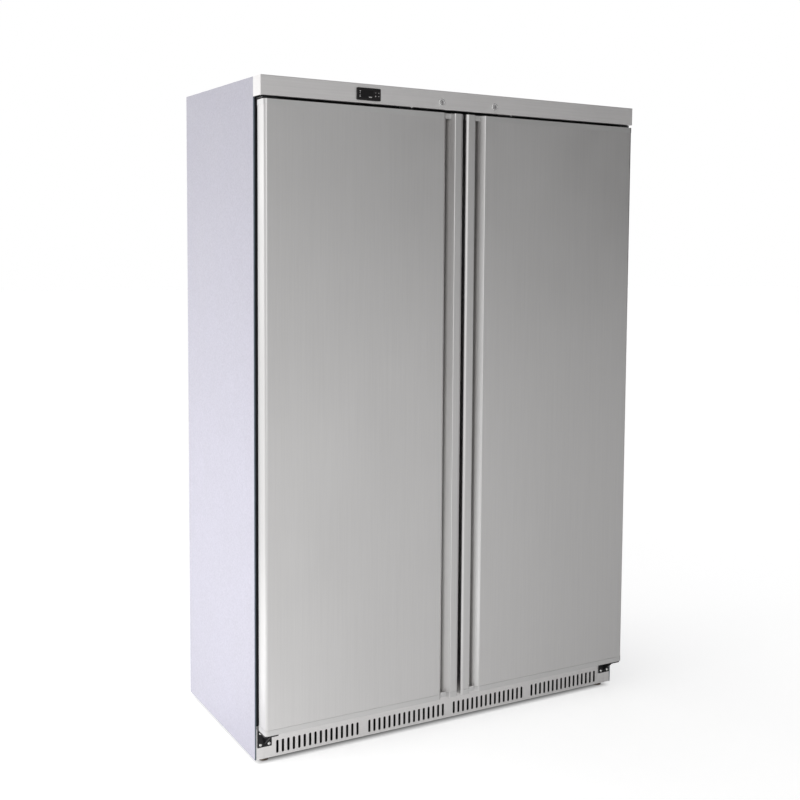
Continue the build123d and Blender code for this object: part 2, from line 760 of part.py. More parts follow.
def top_cap(plan, lock_x, turn):
    """Left door's upper end with its bush seat and the slot that the lock's cam turns into."""
    depth = LOCK_Z - CAM_REACH - CAM_CLEARANCE
    half = CAM_WIDTH / 2 + CAM_CLEARANCE
    sweep_reach = (CAM_REACH**2 - (LOCK_Z - DOOR_TOP_Z) ** 2) ** 0.5 + half
    sides = sorted((lock_x - turn * half, lock_x + turn * sweep_reach))
    slot_y = (CAM_Y - CAM_CLEARANCE, CAM_Y + CAM_THICKNESS + CAM_CLEARANCE)
    with BuildPart() as cap:
        add(door_cap(plan, SKIN_TOP_Z))
        rod((HINGE_X, HINGE_Y, DOOR_TOP_Z), (0, 0, -1), bush_radius(), BUSH_DEPTH, Mode.SUBTRACT)
        span_box(sides, slot_y, (depth, DOOR_TOP_Z), Mode.SUBTRACT)
    return cap.part


def bush_radius():
    """Outer radius of a hinge bush."""
    return PIN_RADIUS + PIN_CLEARANCE + BUSH_WALL


def door_bushes():
    """Flanged sleeves at the left door's two hinge pins."""
    bore = PIN_RADIUS + PIN_CLEARANCE
    with BuildPart() as bushes:
        for z, inward in ((DOOR_Z, 1), (DOOR_TOP_Z, -1)):
            start = (HINGE_X, HINGE_Y, z)
            rod(start, (0, 0, inward), bush_radius(), BUSH_DEPTH)
            rod(start, (0, 0, -inward), bush_radius() + BUSH_FLANGE_WIDTH, BUSH_FLANGE)
            rod(start, (0, 0, inward), bore, BUSH_DEPTH, Mode.SUBTRACT)
            rod(start, (0, 0, -inward), bore, BUSH_FLANGE, Mode.SUBTRACT)
    return bushes.part


# Hinges and screws
def lower_hinge():
    """Left lower hinge: screwed plate, gusset and tongue with its pin."""
    plate_z = (LOWER_TONGUE_Z - LOWER_HINGE_DROP, LOWER_TONGUE_Z)
    tongue_z = (LOWER_TONGUE_Z - HINGE_TONGUE, LOWER_TONGUE_Z)
    middle = (HINGE_OUTER_X + HINGE_END_X) / 2
    with BuildPart() as hinge:
        span_box((HINGE_OUTER_X, HINGE_END_X), (FRONT_Y - HINGE_PLATE, FRONT_Y), plate_z)
        span_box((HINGE_OUTER_X, HINGE_END_X), (FRONT_Y - LOWER_TONGUE_REACH, FRONT_Y), tongue_z)
        with BuildSketch(Plane.YZ.offset(middle)):
            with BuildLine():
                Polyline(
                    (FRONT_Y - HINGE_PLATE, tongue_z[0]),
                    (FRONT_Y - LOWER_TONGUE_REACH + SCREW_MARGIN, tongue_z[0]),
                    (FRONT_Y - HINGE_PLATE, plate_z[0] + SCREW_MARGIN),
                    close=True,
                )
            make_face()
        extrude(amount=GUSSET / 2, both=True)
        front = hinge.edges().filter_by(Axis.Z).group_by(Axis.Y)[0]
        fillet(front, HINGE_INSET)
        rod((HINGE_X, HINGE_Y, LOWER_TONGUE_Z), (0, 0, 1), PIN_RADIUS, BUSH_FLANGE + BUSH_DEPTH)
        hinge_screw_holes(lower_screw_places())
    return hinge.part


def upper_hinge():
    """Left upper hinge: screwed plate behind the fascia and a tongue with its pin under it."""
    plate_z = (UPPER_TONGUE_Z, UPPER_TONGUE_Z + UPPER_HINGE_RISE)
    tongue_z = (UPPER_TONGUE_Z, UPPER_TONGUE_Z + HINGE_TONGUE)
    pin_end = DOOR_TOP_Z - BUSH_DEPTH + RUN_GAP
    with BuildPart() as hinge:
        span_box((HINGE_OUTER_X, HINGE_END_X), (FRONT_Y - HINGE_PLATE, FRONT_Y), plate_z)
        span_box((HINGE_OUTER_X, HINGE_END_X), (FRONT_Y - UPPER_TONGUE_REACH, FRONT_Y), tongue_z)
        start = (HINGE_X, HINGE_Y, UPPER_TONGUE_Z)
        rod(start, (0, 0, -1), PIN_RADIUS, UPPER_TONGUE_Z - pin_end)
        hinge_screw_holes(upper_screw_places())
    return hinge.part


def cabinet_screws():
    """Pan-head screws of the hinges and the fascia."""
    with BuildPart() as screws:
        for x, z in lower_screw_places() + upper_screw_places():
            for side in (x, -x):
                start = (side, FRONT_Y - HINGE_PLATE, z)
                rod(start, (0, -1, 0), SCREW_HEAD_RADIUS, SCREW_HEAD)
                rod(start, (0, 1, 0), SCREW_RADIUS, HINGE_PLATE + SHEET)
        for x in (-HEADER_BRACKET_X, HEADER_BRACKET_X):
            start = (x, HEADER_FRONT_Y + HEADER_LIP / 2, HEADER_Z)
            rod(start, (0, 0, -1), SCREW_HEAD_RADIUS, SCREW_HEAD)
            rod(start, (0, 0, 1), SCREW_RADIUS, HEADER_SHEET + HEADER_BRACKET_SHEET)
    return screws.part


# Controller and locks
def controller_body_size(gap):
    """Width and height of the controller's body behind the fascia, grown by a gap."""
    return (
        CONTROLLER_WIDTH - 2 * CONTROLLER_RIM + 2 * gap,
        CONTROLLER_HEIGHT - 2 * CONTROLLER_RIM + 2 * gap,
    )


def key_places():
    """Places of the four keys on the controller's face."""
    x = CONTROLLER_X + KEY_X
    return {
        "controller_set_key": (x - KEY_PITCH / 2, CONTROLLER_Z + KEY_PITCH / 2),
        "controller_up_key": (x + KEY_PITCH / 2, CONTROLLER_Z + KEY_PITCH / 2),
        "controller_defrost_key": (x - KEY_PITCH / 2, CONTROLLER_Z - KEY_PITCH / 2),
        "controller_down_key": (x + KEY_PITCH / 2, CONTROLLER_Z - KEY_PITCH / 2),
    }


def controller_case():
    """Bezel on the fascia and the body behind it, with pockets for window and keys."""
    body = controller_body_size(0)
    well = KEY_SIZE + 2 * KEY_CLEARANCE
    well_depth = KEY_DEPTH + KEY_TRAVEL - KEY_PROUD + KEY_CLEARANCE
    with BuildPart() as case:
        with BuildSketch(Plane.XZ.offset(-BEZEL_Y)):
            with Locations((CONTROLLER_X, CONTROLLER_Z)):
                RectangleRounded(CONTROLLER_WIDTH, CONTROLLER_HEIGHT, CONTROLLER_CORNER)
        extrude(amount=-CONTROLLER_BEZEL)
        fillet(case.faces().sort_by(Axis.Y)[0].edges(), CONTROLLER_RIM / 2)
        with BuildSketch(Plane.XZ.offset(-HEADER_FRONT_Y)):
            with Locations((CONTROLLER_X, CONTROLLER_Z)):
                Rectangle(*body)
        extrude(amount=-CONTROLLER_BODY_DEPTH)
        with BuildSketch(Plane.XZ.offset(-BEZEL_Y)):
            with Locations((CONTROLLER_X + WINDOW_X, CONTROLLER_Z)):
                Rectangle(WINDOW_WIDTH, WINDOW_HEIGHT)
        extrude(amount=-WINDOW_DEPTH, mode=Mode.SUBTRACT)
        with BuildSketch(Plane.XZ.offset(-BEZEL_Y)):
            with Locations(*key_places().values()):
                Rectangle(well, well)
        extrude(amount=-well_depth, mode=Mode.SUBTRACT)
    return case.part


def controller_window():
    """Display lens, flush in the bezel."""
    with BuildPart() as window:
        with BuildSketch(Plane.XZ.offset(-BEZEL_Y)):
            with Locations((CONTROLLER_X + WINDOW_X, CONTROLLER_Z)):
                Rectangle(WINDOW_WIDTH, WINDOW_HEIGHT)
        extrude(amount=-WINDOW_DEPTH)
    return window.part


def controller_key(x, z):
    """One push key, a little proud of the bezel."""
    with BuildPart() as key:
        with Locations((x, BEZEL_Y - KEY_PROUD + KEY_DEPTH / 2, z)):
            Box(KEY_SIZE, KEY_DEPTH, KEY_SIZE)
        fillet(key.edges().filter_by(Axis.Y), KEY_CLEARANCE)
    return key.part


def lock_barrels():
    """Flanged barrels of both locks, bored for their plugs."""
    with BuildPart() as barrels:
        for x in (LEFT_LOCK_X, RIGHT_LOCK_X):
            start = (x, HEADER_FRONT_Y, LOCK_Z)
            bore = PLUG_RADIUS + PIN_CLEARANCE
            rod(start, (0, -1, 0), LOCK_FLANGE_RADIUS, LOCK_FLANGE)
            rod(start, (0, 1, 0), LOCK_BODY_RADIUS, LOCK_BODY_DEPTH)
            rod(start, (0, -1, 0), bore, LOCK_FLANGE, Mode.SUBTRACT)
            rod(start, (0, 1, 0), bore, LOCK_BODY_DEPTH, Mode.SUBTRACT)
    return barrels.part


def lock_plug(lock_x, turn):
    """Keyed plug with the cam on its tail, which lies level when unlocked."""
    face_y = HEADER_FRONT_Y - LOCK_FLANGE - PLUG_PROUD
    length = CAM_Y - face_y
    arm = sorted((lock_x, lock_x + turn * CAM_REACH))
    with BuildPart() as plug:
        rod((lock_x, face_y, LOCK_Z), (0, 1, 0), PLUG_RADIUS, length)
        rod((lock_x, CAM_Y, LOCK_Z), (0, 1, 0), LOCK_BODY_RADIUS, CAM_THICKNESS)
        height = (LOCK_Z - CAM_WIDTH / 2, LOCK_Z + CAM_WIDTH / 2)
        span_box(arm, (CAM_Y, CAM_Y + CAM_THICKNESS), height)
        with Locations((lock_x, face_y + KEYHOLE_DEPTH / 2, LOCK_Z)):
            Box(KEYHOLE_WIDTH, KEYHOLE_DEPTH, KEYHOLE_HEIGHT, mode=Mode.SUBTRACT)
    return plug.part


# Machine compartment
def machine_tray():
    """Plate across the rails that carries the cooling unit."""
    x = INNER_X - RAIL_WIDTH + TRAY_LAP
    y = (MACHINE_FRONT_Y - TRAY_REACH, RAIL_END_Y)
    with BuildPart() as tray:
        span_box((-x, x), y, (BODY_Z + RAIL_SHEET, TRAY_Z))
    return tray.part


def compressor():
    """Hermetic pot on its foot plate."""
    seat = TRAY_Z + MOUNT_HEIGHT
    top = seat + COMPRESSOR_PLATE + COMPRESSOR_HEIGHT
    centre = (COMPRESSOR_X, MACHINE_MID_Y, 0)
    with BuildPart() as pot:
        with Locations((COMPRESSOR_X, MACHINE_MID_Y, seat + COMPRESSOR_PLATE / 2)):
            Box(COMPRESSOR_PLATE_WIDTH, COMPRESSOR_PLATE_DEPTH, COMPRESSOR_PLATE)
        with BuildSketch(Plane(origin=centre, x_dir=(1, 0, 0), z_dir=(0, -1, 0))):
            with BuildLine():
                FilletPolyline(
                    (0, seat),
                    (COMPRESSOR_RADIUS, seat),
                    (COMPRESSOR_RADIUS, top),
                    (0, top),
                    radius=[0, 0, COMPRESSOR_SHOULDER, 0],
                    close=True,
                )
            make_face()
        revolve(axis=Axis(centre, (0, 0, 1)))
    return pot.part


def compressor_mounts():
    """Four rubber feet between the tray and the compressor's plate."""
    with BuildPart() as mounts:
        with Locations((COMPRESSOR_X, MACHINE_MID_Y, TRAY_Z + MOUNT_HEIGHT / 2)):
            with GridLocations(MOUNT_PITCH_X, MOUNT_PITCH_Y, 2, 2):
                Cylinder(MOUNT_RADIUS, MOUNT_HEIGHT)
    return mounts.part


def terminal_cover():
    """Electrical cover on the compressor's far side."""
    seat = TRAY_Z + MOUNT_HEIGHT + COMPRESSOR_PLATE + TERMINAL_LIFT
    outer = COMPRESSOR_X + COMPRESSOR_RADIUS + TERMINAL_WIDTH / 2
    with BuildPart() as cover:
        span_box(
            (outer - TERMINAL_WIDTH, outer),
            (MACHINE_MID_Y - TERMINAL_DEPTH / 2, MACHINE_MID_Y + TERMINAL_DEPTH / 2),
            (seat, seat + TERMINAL_HEIGHT),
        )
        foot = (COMPRESSOR_X, MACHINE_MID_Y, TRAY_Z)
        rod(foot, (0, 0, 1), COMPRESSOR_RADIUS, MACHINE_HEIGHT, Mode.SUBTRACT)
    return cover.part


def condenser():
    """Finned coil that stands on the tray, facing along X."""
    y = (MACHINE_MID_Y - CONDENSER_WIDTH / 2, MACHINE_MID_Y + CONDENSER_WIDTH / 2)
    gaps = int(CONDENSER_WIDTH // FIN_PITCH)
    pitch = (CONDENSER_WIDTH - FIN) / gaps
    middle = (CONDENSER_X + CONDENSER_THICKNESS / 2, MACHINE_MID_Y, FAN_Z)
    with BuildPart() as coil:
        with Locations(middle):
            with GridLocations(0, pitch, 1, gaps + 1):
                Box(CONDENSER_THICKNESS, FIN, CONDENSER_HEIGHT)
        rows = Plane(origin=(middle[0], y[0], FAN_Z), x_dir=(1, 0, 0), z_dir=(0, 1, 0))
        with Locations(rows):
            with GridLocations(CONDENSER_THICKNESS / 2, CONDENSER_HEIGHT / 4, 2, 4):
                Cylinder(
                    CONDENSER_TUBE_RADIUS,
                    CONDENSER_WIDTH,
                    align=(Align.CENTER, Align.CENTER, Align.MIN),
                )
    return coil.part


def condenser_fan_motor():
    """Shroud plate on the coil with the motor on a three-armed spider."""
    motor_x = FAN_X + FAN_WIDTH + MOTOR_GAP
    opening = FAN_RADIUS + FAN_TIP_GAP
    arm_reach = opening + SPIDER_WIDTH
    with BuildPart() as motor:
        span_box(
            (SHROUD_X, SHROUD_X + SHROUD_SHEET),
            (MACHINE_MID_Y - arm_reach, MACHINE_MID_Y + arm_reach),
            (TRAY_Z, TRAY_Z + CONDENSER_HEIGHT),
        )
        rod((SHROUD_X, MACHINE_MID_Y, FAN_Z), (1, 0, 0), opening, SHROUD_SHEET, Mode.SUBTRACT)
        rod((motor_x, MACHINE_MID_Y, FAN_Z), (1, 0, 0), MOTOR_RADIUS, MOTOR_LENGTH)
        spokes = Plane(origin=(motor_x, MACHINE_MID_Y, FAN_Z), x_dir=(0, 1, 0), z_dir=(1, 0, 0))
        with Locations(spokes):
            with PolarLocations(0, 3, start_angle=90):
                with Locations((arm_reach / 2, 0, SPIDER_WIDTH / 2)):
                    Box(arm_reach, SPIDER_WIDTH, SPIDER_WIDTH)
                leg = motor_x + SPIDER_WIDTH - SHROUD_X
                with Locations((opening + SPIDER_WIDTH / 2, 0, SPIDER_WIDTH - leg / 2)):
                    Box(SPIDER_WIDTH, SPIDER_WIDTH, leg)
        rod((motor_x, MACHINE_MID_Y, FAN_Z), (-1, 0, 0), SHAFT_RADIUS, MOTOR_GAP + FAN_WIDTH)
    return motor.part


def condenser_fan():
    """Pitched blades on a bored hub."""
    with BuildPart() as fan:
        rod((FAN_X, MACHINE_MID_Y, FAN_Z), (1, 0, 0), FAN_HUB_RADIUS, FAN_WIDTH)
        middle = (FAN_X + FAN_WIDTH / 2, MACHINE_MID_Y, FAN_Z)
        disc = Plane(origin=middle, x_dir=(0, 1, 0), z_dir=(1, 0, 0))
        length = FAN_RADIUS - FAN_HUB_RADIUS + BLADE_ROOT_SINK
        with Locations(disc):
            with PolarLocations(FAN_RADIUS - length / 2, FAN_BLADES):
                Box(length, FAN_WIDTH, BLADE_SHEET, rotation=(BLADE_PITCH_DEG, 0, 0))
        bore = SHAFT_RADIUS + SHAFT_CLEARANCE
        rod((FAN_X, MACHINE_MID_Y, FAN_Z), (1, 0, 0), bore, FAN_WIDTH, Mode.SUBTRACT)
    return fan.part


def pipe(points):
    """Bent copper pipe through a list of points."""
    with BuildPart() as tube:
        with BuildLine() as route:
            FilletPolyline(*points, radius=PIPE_BEND)
        with BuildSketch(Plane(origin=points[0], z_dir=Vector(*points[1]) - Vector(*points[0]))):
            Circle(PIPE_RADIUS)
        sweep(path=route.wires()[0])
    return tube.part


def coil_outlet():
    """Lower end of the condenser's tube, on the coil's rear end."""
    x = CONDENSER_X + CONDENSER_THICKNESS / 4
    return (x, MACHINE_MID_Y + CONDENSER_WIDTH / 2, FAN_Z - CONDENSER_HEIGHT * 3 / 8)


def drier_place():
    """Foot of the filter drier, upright between the fan and the compressor."""
    outlet = coil_outlet()
    x = COMPRESSOR_X - COMPRESSOR_RADIUS - PIPE_SETBACK
    return (x, outlet[1] + PIPE_LEG, outlet[2] + PIPE_LEG)


def filter_drier():
    """Copper filter drier with necked ends."""
    x, y, z = drier_place()
    with BuildPart() as drier:
        with BuildSketch(Plane(origin=(x, y, z), x_dir=(1, 0, 0), z_dir=(0, -1, 0))):
            with BuildLine():
                Polyline(
                    (0, 0),
                    (PIPE_RADIUS, 0),
                    (DRIER_RADIUS, DRIER_NECK),
                    (DRIER_RADIUS, DRIER_LENGTH - DRIER_NECK),
                    (PIPE_RADIUS, DRIER_LENGTH),
                    (0, DRIER_LENGTH),
                    close=True,
                )
            make_face()
        revolve(axis=Axis((x, y, z), (0, 0, 1)))
    return drier.part


def refrigerant_pipes():
    """Discharge, liquid and suction lines of the cooling unit."""
    x, y, z = drier_place()
    coil_x, coil_end, coil_low = coil_outlet()
    pot_top = TRAY_Z + MOUNT_HEIGHT + COMPRESSOR_PLATE + COMPRESSOR_HEIGHT
    pot_low = TRAY_Z + MOUNT_HEIGHT + PIPE_SETBACK
    coil_top = TRAY_Z + CONDENSER_HEIGHT
    loft = max(pot_top, coil_top) + PIPE_RISE
    aside = COMPRESSOR_X + COMPRESSOR_RADIUS + TERMINAL_WIDTH + PIPE_SETBACK
    discharge = [
        (COMPRESSOR_X, MACHINE_MID_Y, pot_top),
        (COMPRESSOR_X, MACHINE_MID_Y, loft),
        (coil_x, MACHINE_MID_Y, loft),
        (coil_x, MACHINE_MID_Y, coil_top),
    ]
    liquid = [
        (coil_x, coil_end, coil_low),
        (coil_x, y, coil_low),
        (x, y, coil_low),
        (x, y, z),
    ]
    suction = [
        (COMPRESSOR_X + COMPRESSOR_RADIUS, MACHINE_MID_Y, pot_low),
        (aside, MACHINE_MID_Y, pot_low),
        (aside, MACHINE_MID_Y, MACHINE_TOP_Z),
    ]
    with BuildPart() as pipes:
        for route in (discharge, liquid, suction):
            add(pipe(route))
        drier_top = z + DRIER_LENGTH
        rod((x, y, drier_top), (0, 0, 1), PIPE_RADIUS, MACHINE_TOP_Z - drier_top)
    return pipes.part


def rear_cover():
    """Recessed, slotted cover of the machine compartment with its side returns."""
    x = HALF_WIDTH - COVER_SIDE_MARGIN
    z = (BODY_Z + RAIL_SHEET, MACHINE_TOP_Z)
    with BuildPart() as cover:
        span_box((-x, x), (COVER_Y, COVER_Y + SHEET), z)
        for side in (-x, x - SHEET):
            span_box((side, side + SHEET), (COVER_Y, FOAM_BACK_Y), z)
        with BuildSketch(Plane.XZ.offset(-COVER_Y)):
            with Locations((0, (z[0] + z[1]) / 2)):
                with GridLocations(COVER_SLOT_PITCH, COVER_ROW_PITCH, COVER_SLOTS, COVER_ROWS):
                    SlotOverall(COVER_SLOT_LENGTH, SLOT_WIDTH, rotation=90)
        extrude(amount=-SHEET, mode=Mode.SUBTRACT)
        rod((GLAND_X, COVER_Y, GLAND_Z), (0, 1, 0), GLAND_NECK, SHEET, Mode.SUBTRACT)
    return cover.part


def mains_gland():
    """Cable gland through the rear cover, bored for the supply lead."""
    outer = (GLAND_X, COVER_Y + SHEET, GLAND_Z)
    inner = (GLAND_X, COVER_Y, GLAND_Z)
    with BuildPart() as gland:
        rod(outer, (0, 1, 0), GLAND_RADIUS, GLAND_LENGTH)
        rod(inner, (0, 1, 0), GLAND_NECK, SHEET)
        rod(inner, (0, -1, 0), GLAND_RADIUS, GLAND_TAIL)
        start = (GLAND_X, COVER_Y - GLAND_TAIL, GLAND_Z)
        rod(start, (0, 1, 0), GLAND_BORE, GLAND_TAIL + SHEET + GLAND_LENGTH, Mode.SUBTRACT)
    return gland.part


# Evaporator shelves
def shelf_wires(level):
    """Flat wire grid of one shelf in the left compartment."""
    x = (CELL_OUTER_X + LINER + SHELF_SIDE_GAP, CELL_INNER_X - LINER - SHELF_SIDE_GAP)
    size = (x[1] - x[0], SHELF_BACK_Y - SHELF_FRONT_Y)
    pitch = ((size[0] - SHELF_BORDER) / WIRE_COLUMNS, (size[1] - WIRE) / WIRE_GAPS)
    with BuildPart() as wires:
        with BuildSketch(Plane.XY.offset(level)):
            with Locations(((x[0] + x[1]) / 2, (SHELF_FRONT_Y + SHELF_BACK_Y) / 2)):
                Rectangle(*size)
                with GridLocations(*pitch, WIRE_COLUMNS, WIRE_GAPS):
                    Rectangle(pitch[0] - SHELF_BORDER, pitch[1] - WIRE, mode=Mode.SUBTRACT)
        extrude(amount=WIRE)
    return wires.part


def tube_run_x(run):
    """Place across the left compartment of one run of the evaporator tube."""
    middle = (CELL_OUTER_X + CELL_INNER_X) / 2
    return middle + (run - (TUBE_RUNS - 1) / 2) * TUBE_PITCH


def shelf_tube(level):
    """Evaporator tube under one shelf, to and fro with both ends at the back."""
    z = level - TUBE_RADIUS - TUBE_WELD_GAP
    near = SHELF_FRONT_Y + TUBE_END_MARGIN
    far = SHELF_BACK_Y - TUBE_END_MARGIN
    points = []
    for run in range(TUBE_RUNS):
        ends = (far, near) if run % 2 == 0 else (near, far)
        points += [(tube_run_x(run), y, z) for y in ends]
    points[0] = (points[0][0], SHELF_BACK_Y, z)
    points[-1] = (points[-1][0], SHELF_BACK_Y, z)
    with BuildPart() as tube:
        with BuildLine() as route:
            FilletPolyline(*points, radius=TUBE_PITCH / 2 - TUBE_TURN_STRAIGHT)
        with BuildSketch(Plane(origin=points[0], z_dir=(0, -1, 0))):
            Circle(TUBE_RADIUS)
        sweep(path=route.wires()[0])
    return tube.part


def riser(level, x):
    """Tube that joins one shelf's coil to the next one up, at the back."""
    z = level - TUBE_RADIUS - TUBE_WELD_GAP
    back = SHELF_BACK_Y + RISER_LEG
    points = [
        (x, SHELF_BACK_Y, z),
        (x, back, z),
        (x, back, z + SHELF_PITCH),
        (x, SHELF_BACK_Y, z + SHELF_PITCH),
    ]
    with BuildPart() as tube:
        with BuildLine() as route:
            FilletPolyline(*points, radius=RISER_BEND)
        with BuildSketch(Plane(origin=points[0], z_dir=(0, 1, 0))):
            Circle(TUBE_RADIUS)
        sweep(path=route.wires()[0])
    return tube.part


def evaporator_shelves():
    """All the left compartment's wire-on-tube shelves and the tubes that join them."""
    lowest_wires = shelf_wires(SHELF_LEVELS[0])
    lowest_tube = shelf_tube(SHELF_LEVELS[0])
    pieces = []
    for number, level in enumerate(SHELF_LEVELS):
        lift = Pos(0, 0, level - SHELF_LEVELS[0])
        pieces += [lift * lowest_wires, lift * lowest_tube]
        if number + 1 < SHELF_COUNT:
            pieces.append(riser(level, tube_run_x((TUBE_RUNS - 1) * ((number + 1) % 2))))
    return Compound(children=[solid for piece in pieces for solid in piece.solids()])


save_pair(side_panel(), "side_panel")
save(top_panel(), "top_panel")
save(rear_panel(), "rear_panel")
save(floor_pan(), "floor_pan")
save(insulation(), "insulation")
save_pair(liner(), "liner")
save(front_frame(), "front_frame")
save(header_panel(), "header_panel")
save(header_brackets(), "header_brackets")
save(kick_grille(), "kick_grille")
save_pair(base_rail(), "base_rail")
for foot_row, (foot_x, foot_y) in zip(("front", "rear"), foot_places()):
    save_pair(levelling_foot(foot_x, foot_y), f"{foot_row}_foot")

outline = door_outline()
core_outline = offset(outline, amount=-DOOR_SKIN)
cap_outline = offset(outline, amount=CAP_PROUD)
save_pair(door_skin(outline, core_outline), "door_skin")
save_pair(door_core(core_outline), "door_core")
save_pair(door_panel(), "door_panel")
save_pair(door_gasket(), "door_gasket")
save_pair(bottom_cap(cap_outline), "door_bottom_cap")
save(top_cap(cap_outline, LEFT_LOCK_X, -1), "left_door_top_cap")
save(mirrored(top_cap(cap_outline, -RIGHT_LOCK_X, -1)), "right_door_top_cap")
save_pair(door_bushes(), "door_bushes")

save_pair(lower_hinge(), "lower_hinge")
save_pair(upper_hinge(), "upper_hinge")
save(cabinet_screws(), "cabinet_screws")

save(controller_case(), "controller_case")
save(controller_window(), "controller_window")
for key_name, (key_x, key_z) in key_places().items():
    save(controller_key(key_x, key_z), key_name)
save(lock_barrels(), "lock_barrels")
save(lock_plug(LEFT_LOCK_X, -1), "left_lock_plug")
save(lock_plug(RIGHT_LOCK_X, 1), "right_lock_plug")

save(machine_tray(), "machine_tray")
save(compressor(), "compressor")
save(compressor_mounts(), "compressor_mounts")
save(terminal_cover(), "terminal_cover")
save(condenser(), "condenser")
save(condenser_fan_motor(), "condenser_fan_motor")
save(condenser_fan(), "condenser_fan")
save(filter_drier(), "filter_drier")
save(refrigerant_pipes(), "refrigerant_pipes")
save(rear_cover(), "rear_cover")
save(mains_gland(), "mains_gland")

save_pair(evaporator_shelves(), "evaporator_shelves")
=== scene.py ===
"""Looks of the two-door freezer cabinet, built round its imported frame, in metres."""

import json
import math

import bmesh
import bpy
from mathutils import Matrix, Vector


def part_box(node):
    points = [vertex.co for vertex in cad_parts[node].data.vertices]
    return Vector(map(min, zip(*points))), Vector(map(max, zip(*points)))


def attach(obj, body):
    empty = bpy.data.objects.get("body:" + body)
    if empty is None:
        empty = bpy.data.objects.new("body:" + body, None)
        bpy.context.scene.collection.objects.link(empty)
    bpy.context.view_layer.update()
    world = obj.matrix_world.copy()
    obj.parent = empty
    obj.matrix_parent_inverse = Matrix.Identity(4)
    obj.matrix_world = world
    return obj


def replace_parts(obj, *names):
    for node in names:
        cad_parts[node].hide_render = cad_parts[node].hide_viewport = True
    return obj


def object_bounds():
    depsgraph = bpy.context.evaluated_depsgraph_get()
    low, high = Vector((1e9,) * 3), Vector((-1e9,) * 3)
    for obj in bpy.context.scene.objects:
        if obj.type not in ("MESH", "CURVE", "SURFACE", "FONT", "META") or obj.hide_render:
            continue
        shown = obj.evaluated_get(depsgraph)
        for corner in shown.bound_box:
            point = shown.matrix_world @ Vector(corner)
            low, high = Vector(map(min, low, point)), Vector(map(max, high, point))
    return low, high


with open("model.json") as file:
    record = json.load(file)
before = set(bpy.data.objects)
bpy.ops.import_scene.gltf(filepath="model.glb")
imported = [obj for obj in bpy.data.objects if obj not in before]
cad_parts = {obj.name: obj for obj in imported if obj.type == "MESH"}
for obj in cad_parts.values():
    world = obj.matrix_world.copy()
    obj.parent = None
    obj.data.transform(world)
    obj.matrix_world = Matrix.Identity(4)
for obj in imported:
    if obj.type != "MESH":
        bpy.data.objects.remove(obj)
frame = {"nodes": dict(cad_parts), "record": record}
cad_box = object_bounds()
nodes = frame["nodes"]

MM = 0.001

# Door sheet: corner rounds and the handle groove's corners, each with its distance in millimetres from the
# door's free edge, its depth and its round
SKIN = 0.8 * MM
DOOR_CORNER = 7.0 * MM
DOOR_RETURN = 12.0 * MM
RETURN_ROUND = 2.0 * MM
GROOVE = [(61.0, 0.0, 2.0), (50.0, 15.0, 25.0), (46.0, 32.0, 2.0), (42.0, 32.0, 2.0), (26.0, 0.0, 1.5)]

# Depths in the groove between which the painted highlight comes in, then the painted shade, the heights over
# which this changes, the painted shade's share low down, and how softly it all ends beside the groove
HIGHLIGHT_DEPTHS = (0.5 * MM, 3.0 * MM)
GROOVE_SHADE_DEPTHS = (17.0 * MM, 30.0 * MM)
GROOVE_LIGHT_HEIGHTS = (0.55, 1.65)
LOW_SHADE_SHARE = 0.8
GROOVE_FADE = 1.0 * MM

# Base rail: depth behind its post at which its painted shade begins
RAIL_SHADE = 3.0 * MM

# Side panel: depth of the dark strip on its folded front edge
EDGE_STRIP = 0.5 * MM

# Cabinet's foam: how far the painted shade on its front face wraps round its edges
FRONT_SHADE_WRAP = 3.0 * MM

# Door gasket: half its profile's width, and that half's corners, each with its shares of this width and of
# the gasket's depth and with its round in millimetres
GASKET_HALF = 9.0 * MM
GASKET_CORNERS = [
    (0.55, 0.0, 0.4),
    (0.55, 0.14, 0.4),
    (0.28, 0.2, 0.3),
    (0.28, 0.28, 0.3),
    (0.85, 0.36, 0.6),
    (1.0, 0.47, 0.6),
    (0.85, 0.58, 0.6),
    (0.45, 0.64, 0.5),
    (0.45, 0.68, 0.5),
    (1.0, 0.7, 0.5),
    (1.0, 1.0, 1.2),
]

# Evaporator shelves
WIRE_RADIUS = 1.5 * MM
CROSS_WIRES = 19
BORDER = 8.0 * MM
SHELF_COUNT = 5
SHELF_PITCH = 265.0 * MM
WIRE_LIFT = 0.05 * MM
TUBE_RADIUS = 4.0 * MM
TUBE_RUNS = 8
TUBE_PITCH = 50.0 * MM
TUBE_TURN = 24.0 * MM
TUBE_END_MARGIN = 24.0 * MM
RISER_LEG = 12.0 * MM
RISER_BEND = 10.0 * MM

# Screws; points nearer together than the spread belong to one screw
SCREW_SPREAD = 14.0 * MM
SCREW_RADIUS = 2.0 * MM
SCREW_HEAD = 2.5 * MM
SCREW_RIM = 0.9 * MM
SCREW_DOME_ROWS = 12
RECESS_REACH = 0.58
RECESS_HALF_WIDTH = 0.5 * MM
RECESS_DEPTH = 1.1 * MM

# Controller's marks: how far they stand out of its face and reach into it, their forms as shares of their
# half sizes, and the half sizes and insets of those on the display and on the keys
MARK_OUT = 0.06 * MM
MARK_IN = 0.1 * MM
DOT_SIDES = 16
ARROW_FOOT = 0.7
ARROW_TIP = 0.8
BAR_SHARE = 0.25
STATE_MARK = 1.6 * MM
STATE_INSET = 3.4 * MM
UNIT_MARK = 4.5 * MM
UNIT_INSET = (8.0 * MM, 2.6 * MM)
KEY_MARK = 1.5 * MM

# Rounds on the locks, the bend in degrees that counts as a sharp edge, and the reach of the weld before them
BARREL_ROUND = 1.7 * MM
BARREL_SEGMENTS = 4
PLUG_ROUND = 0.4 * MM
SHARP_BEND = 40.0
WELD_REACH = 0.005 * MM

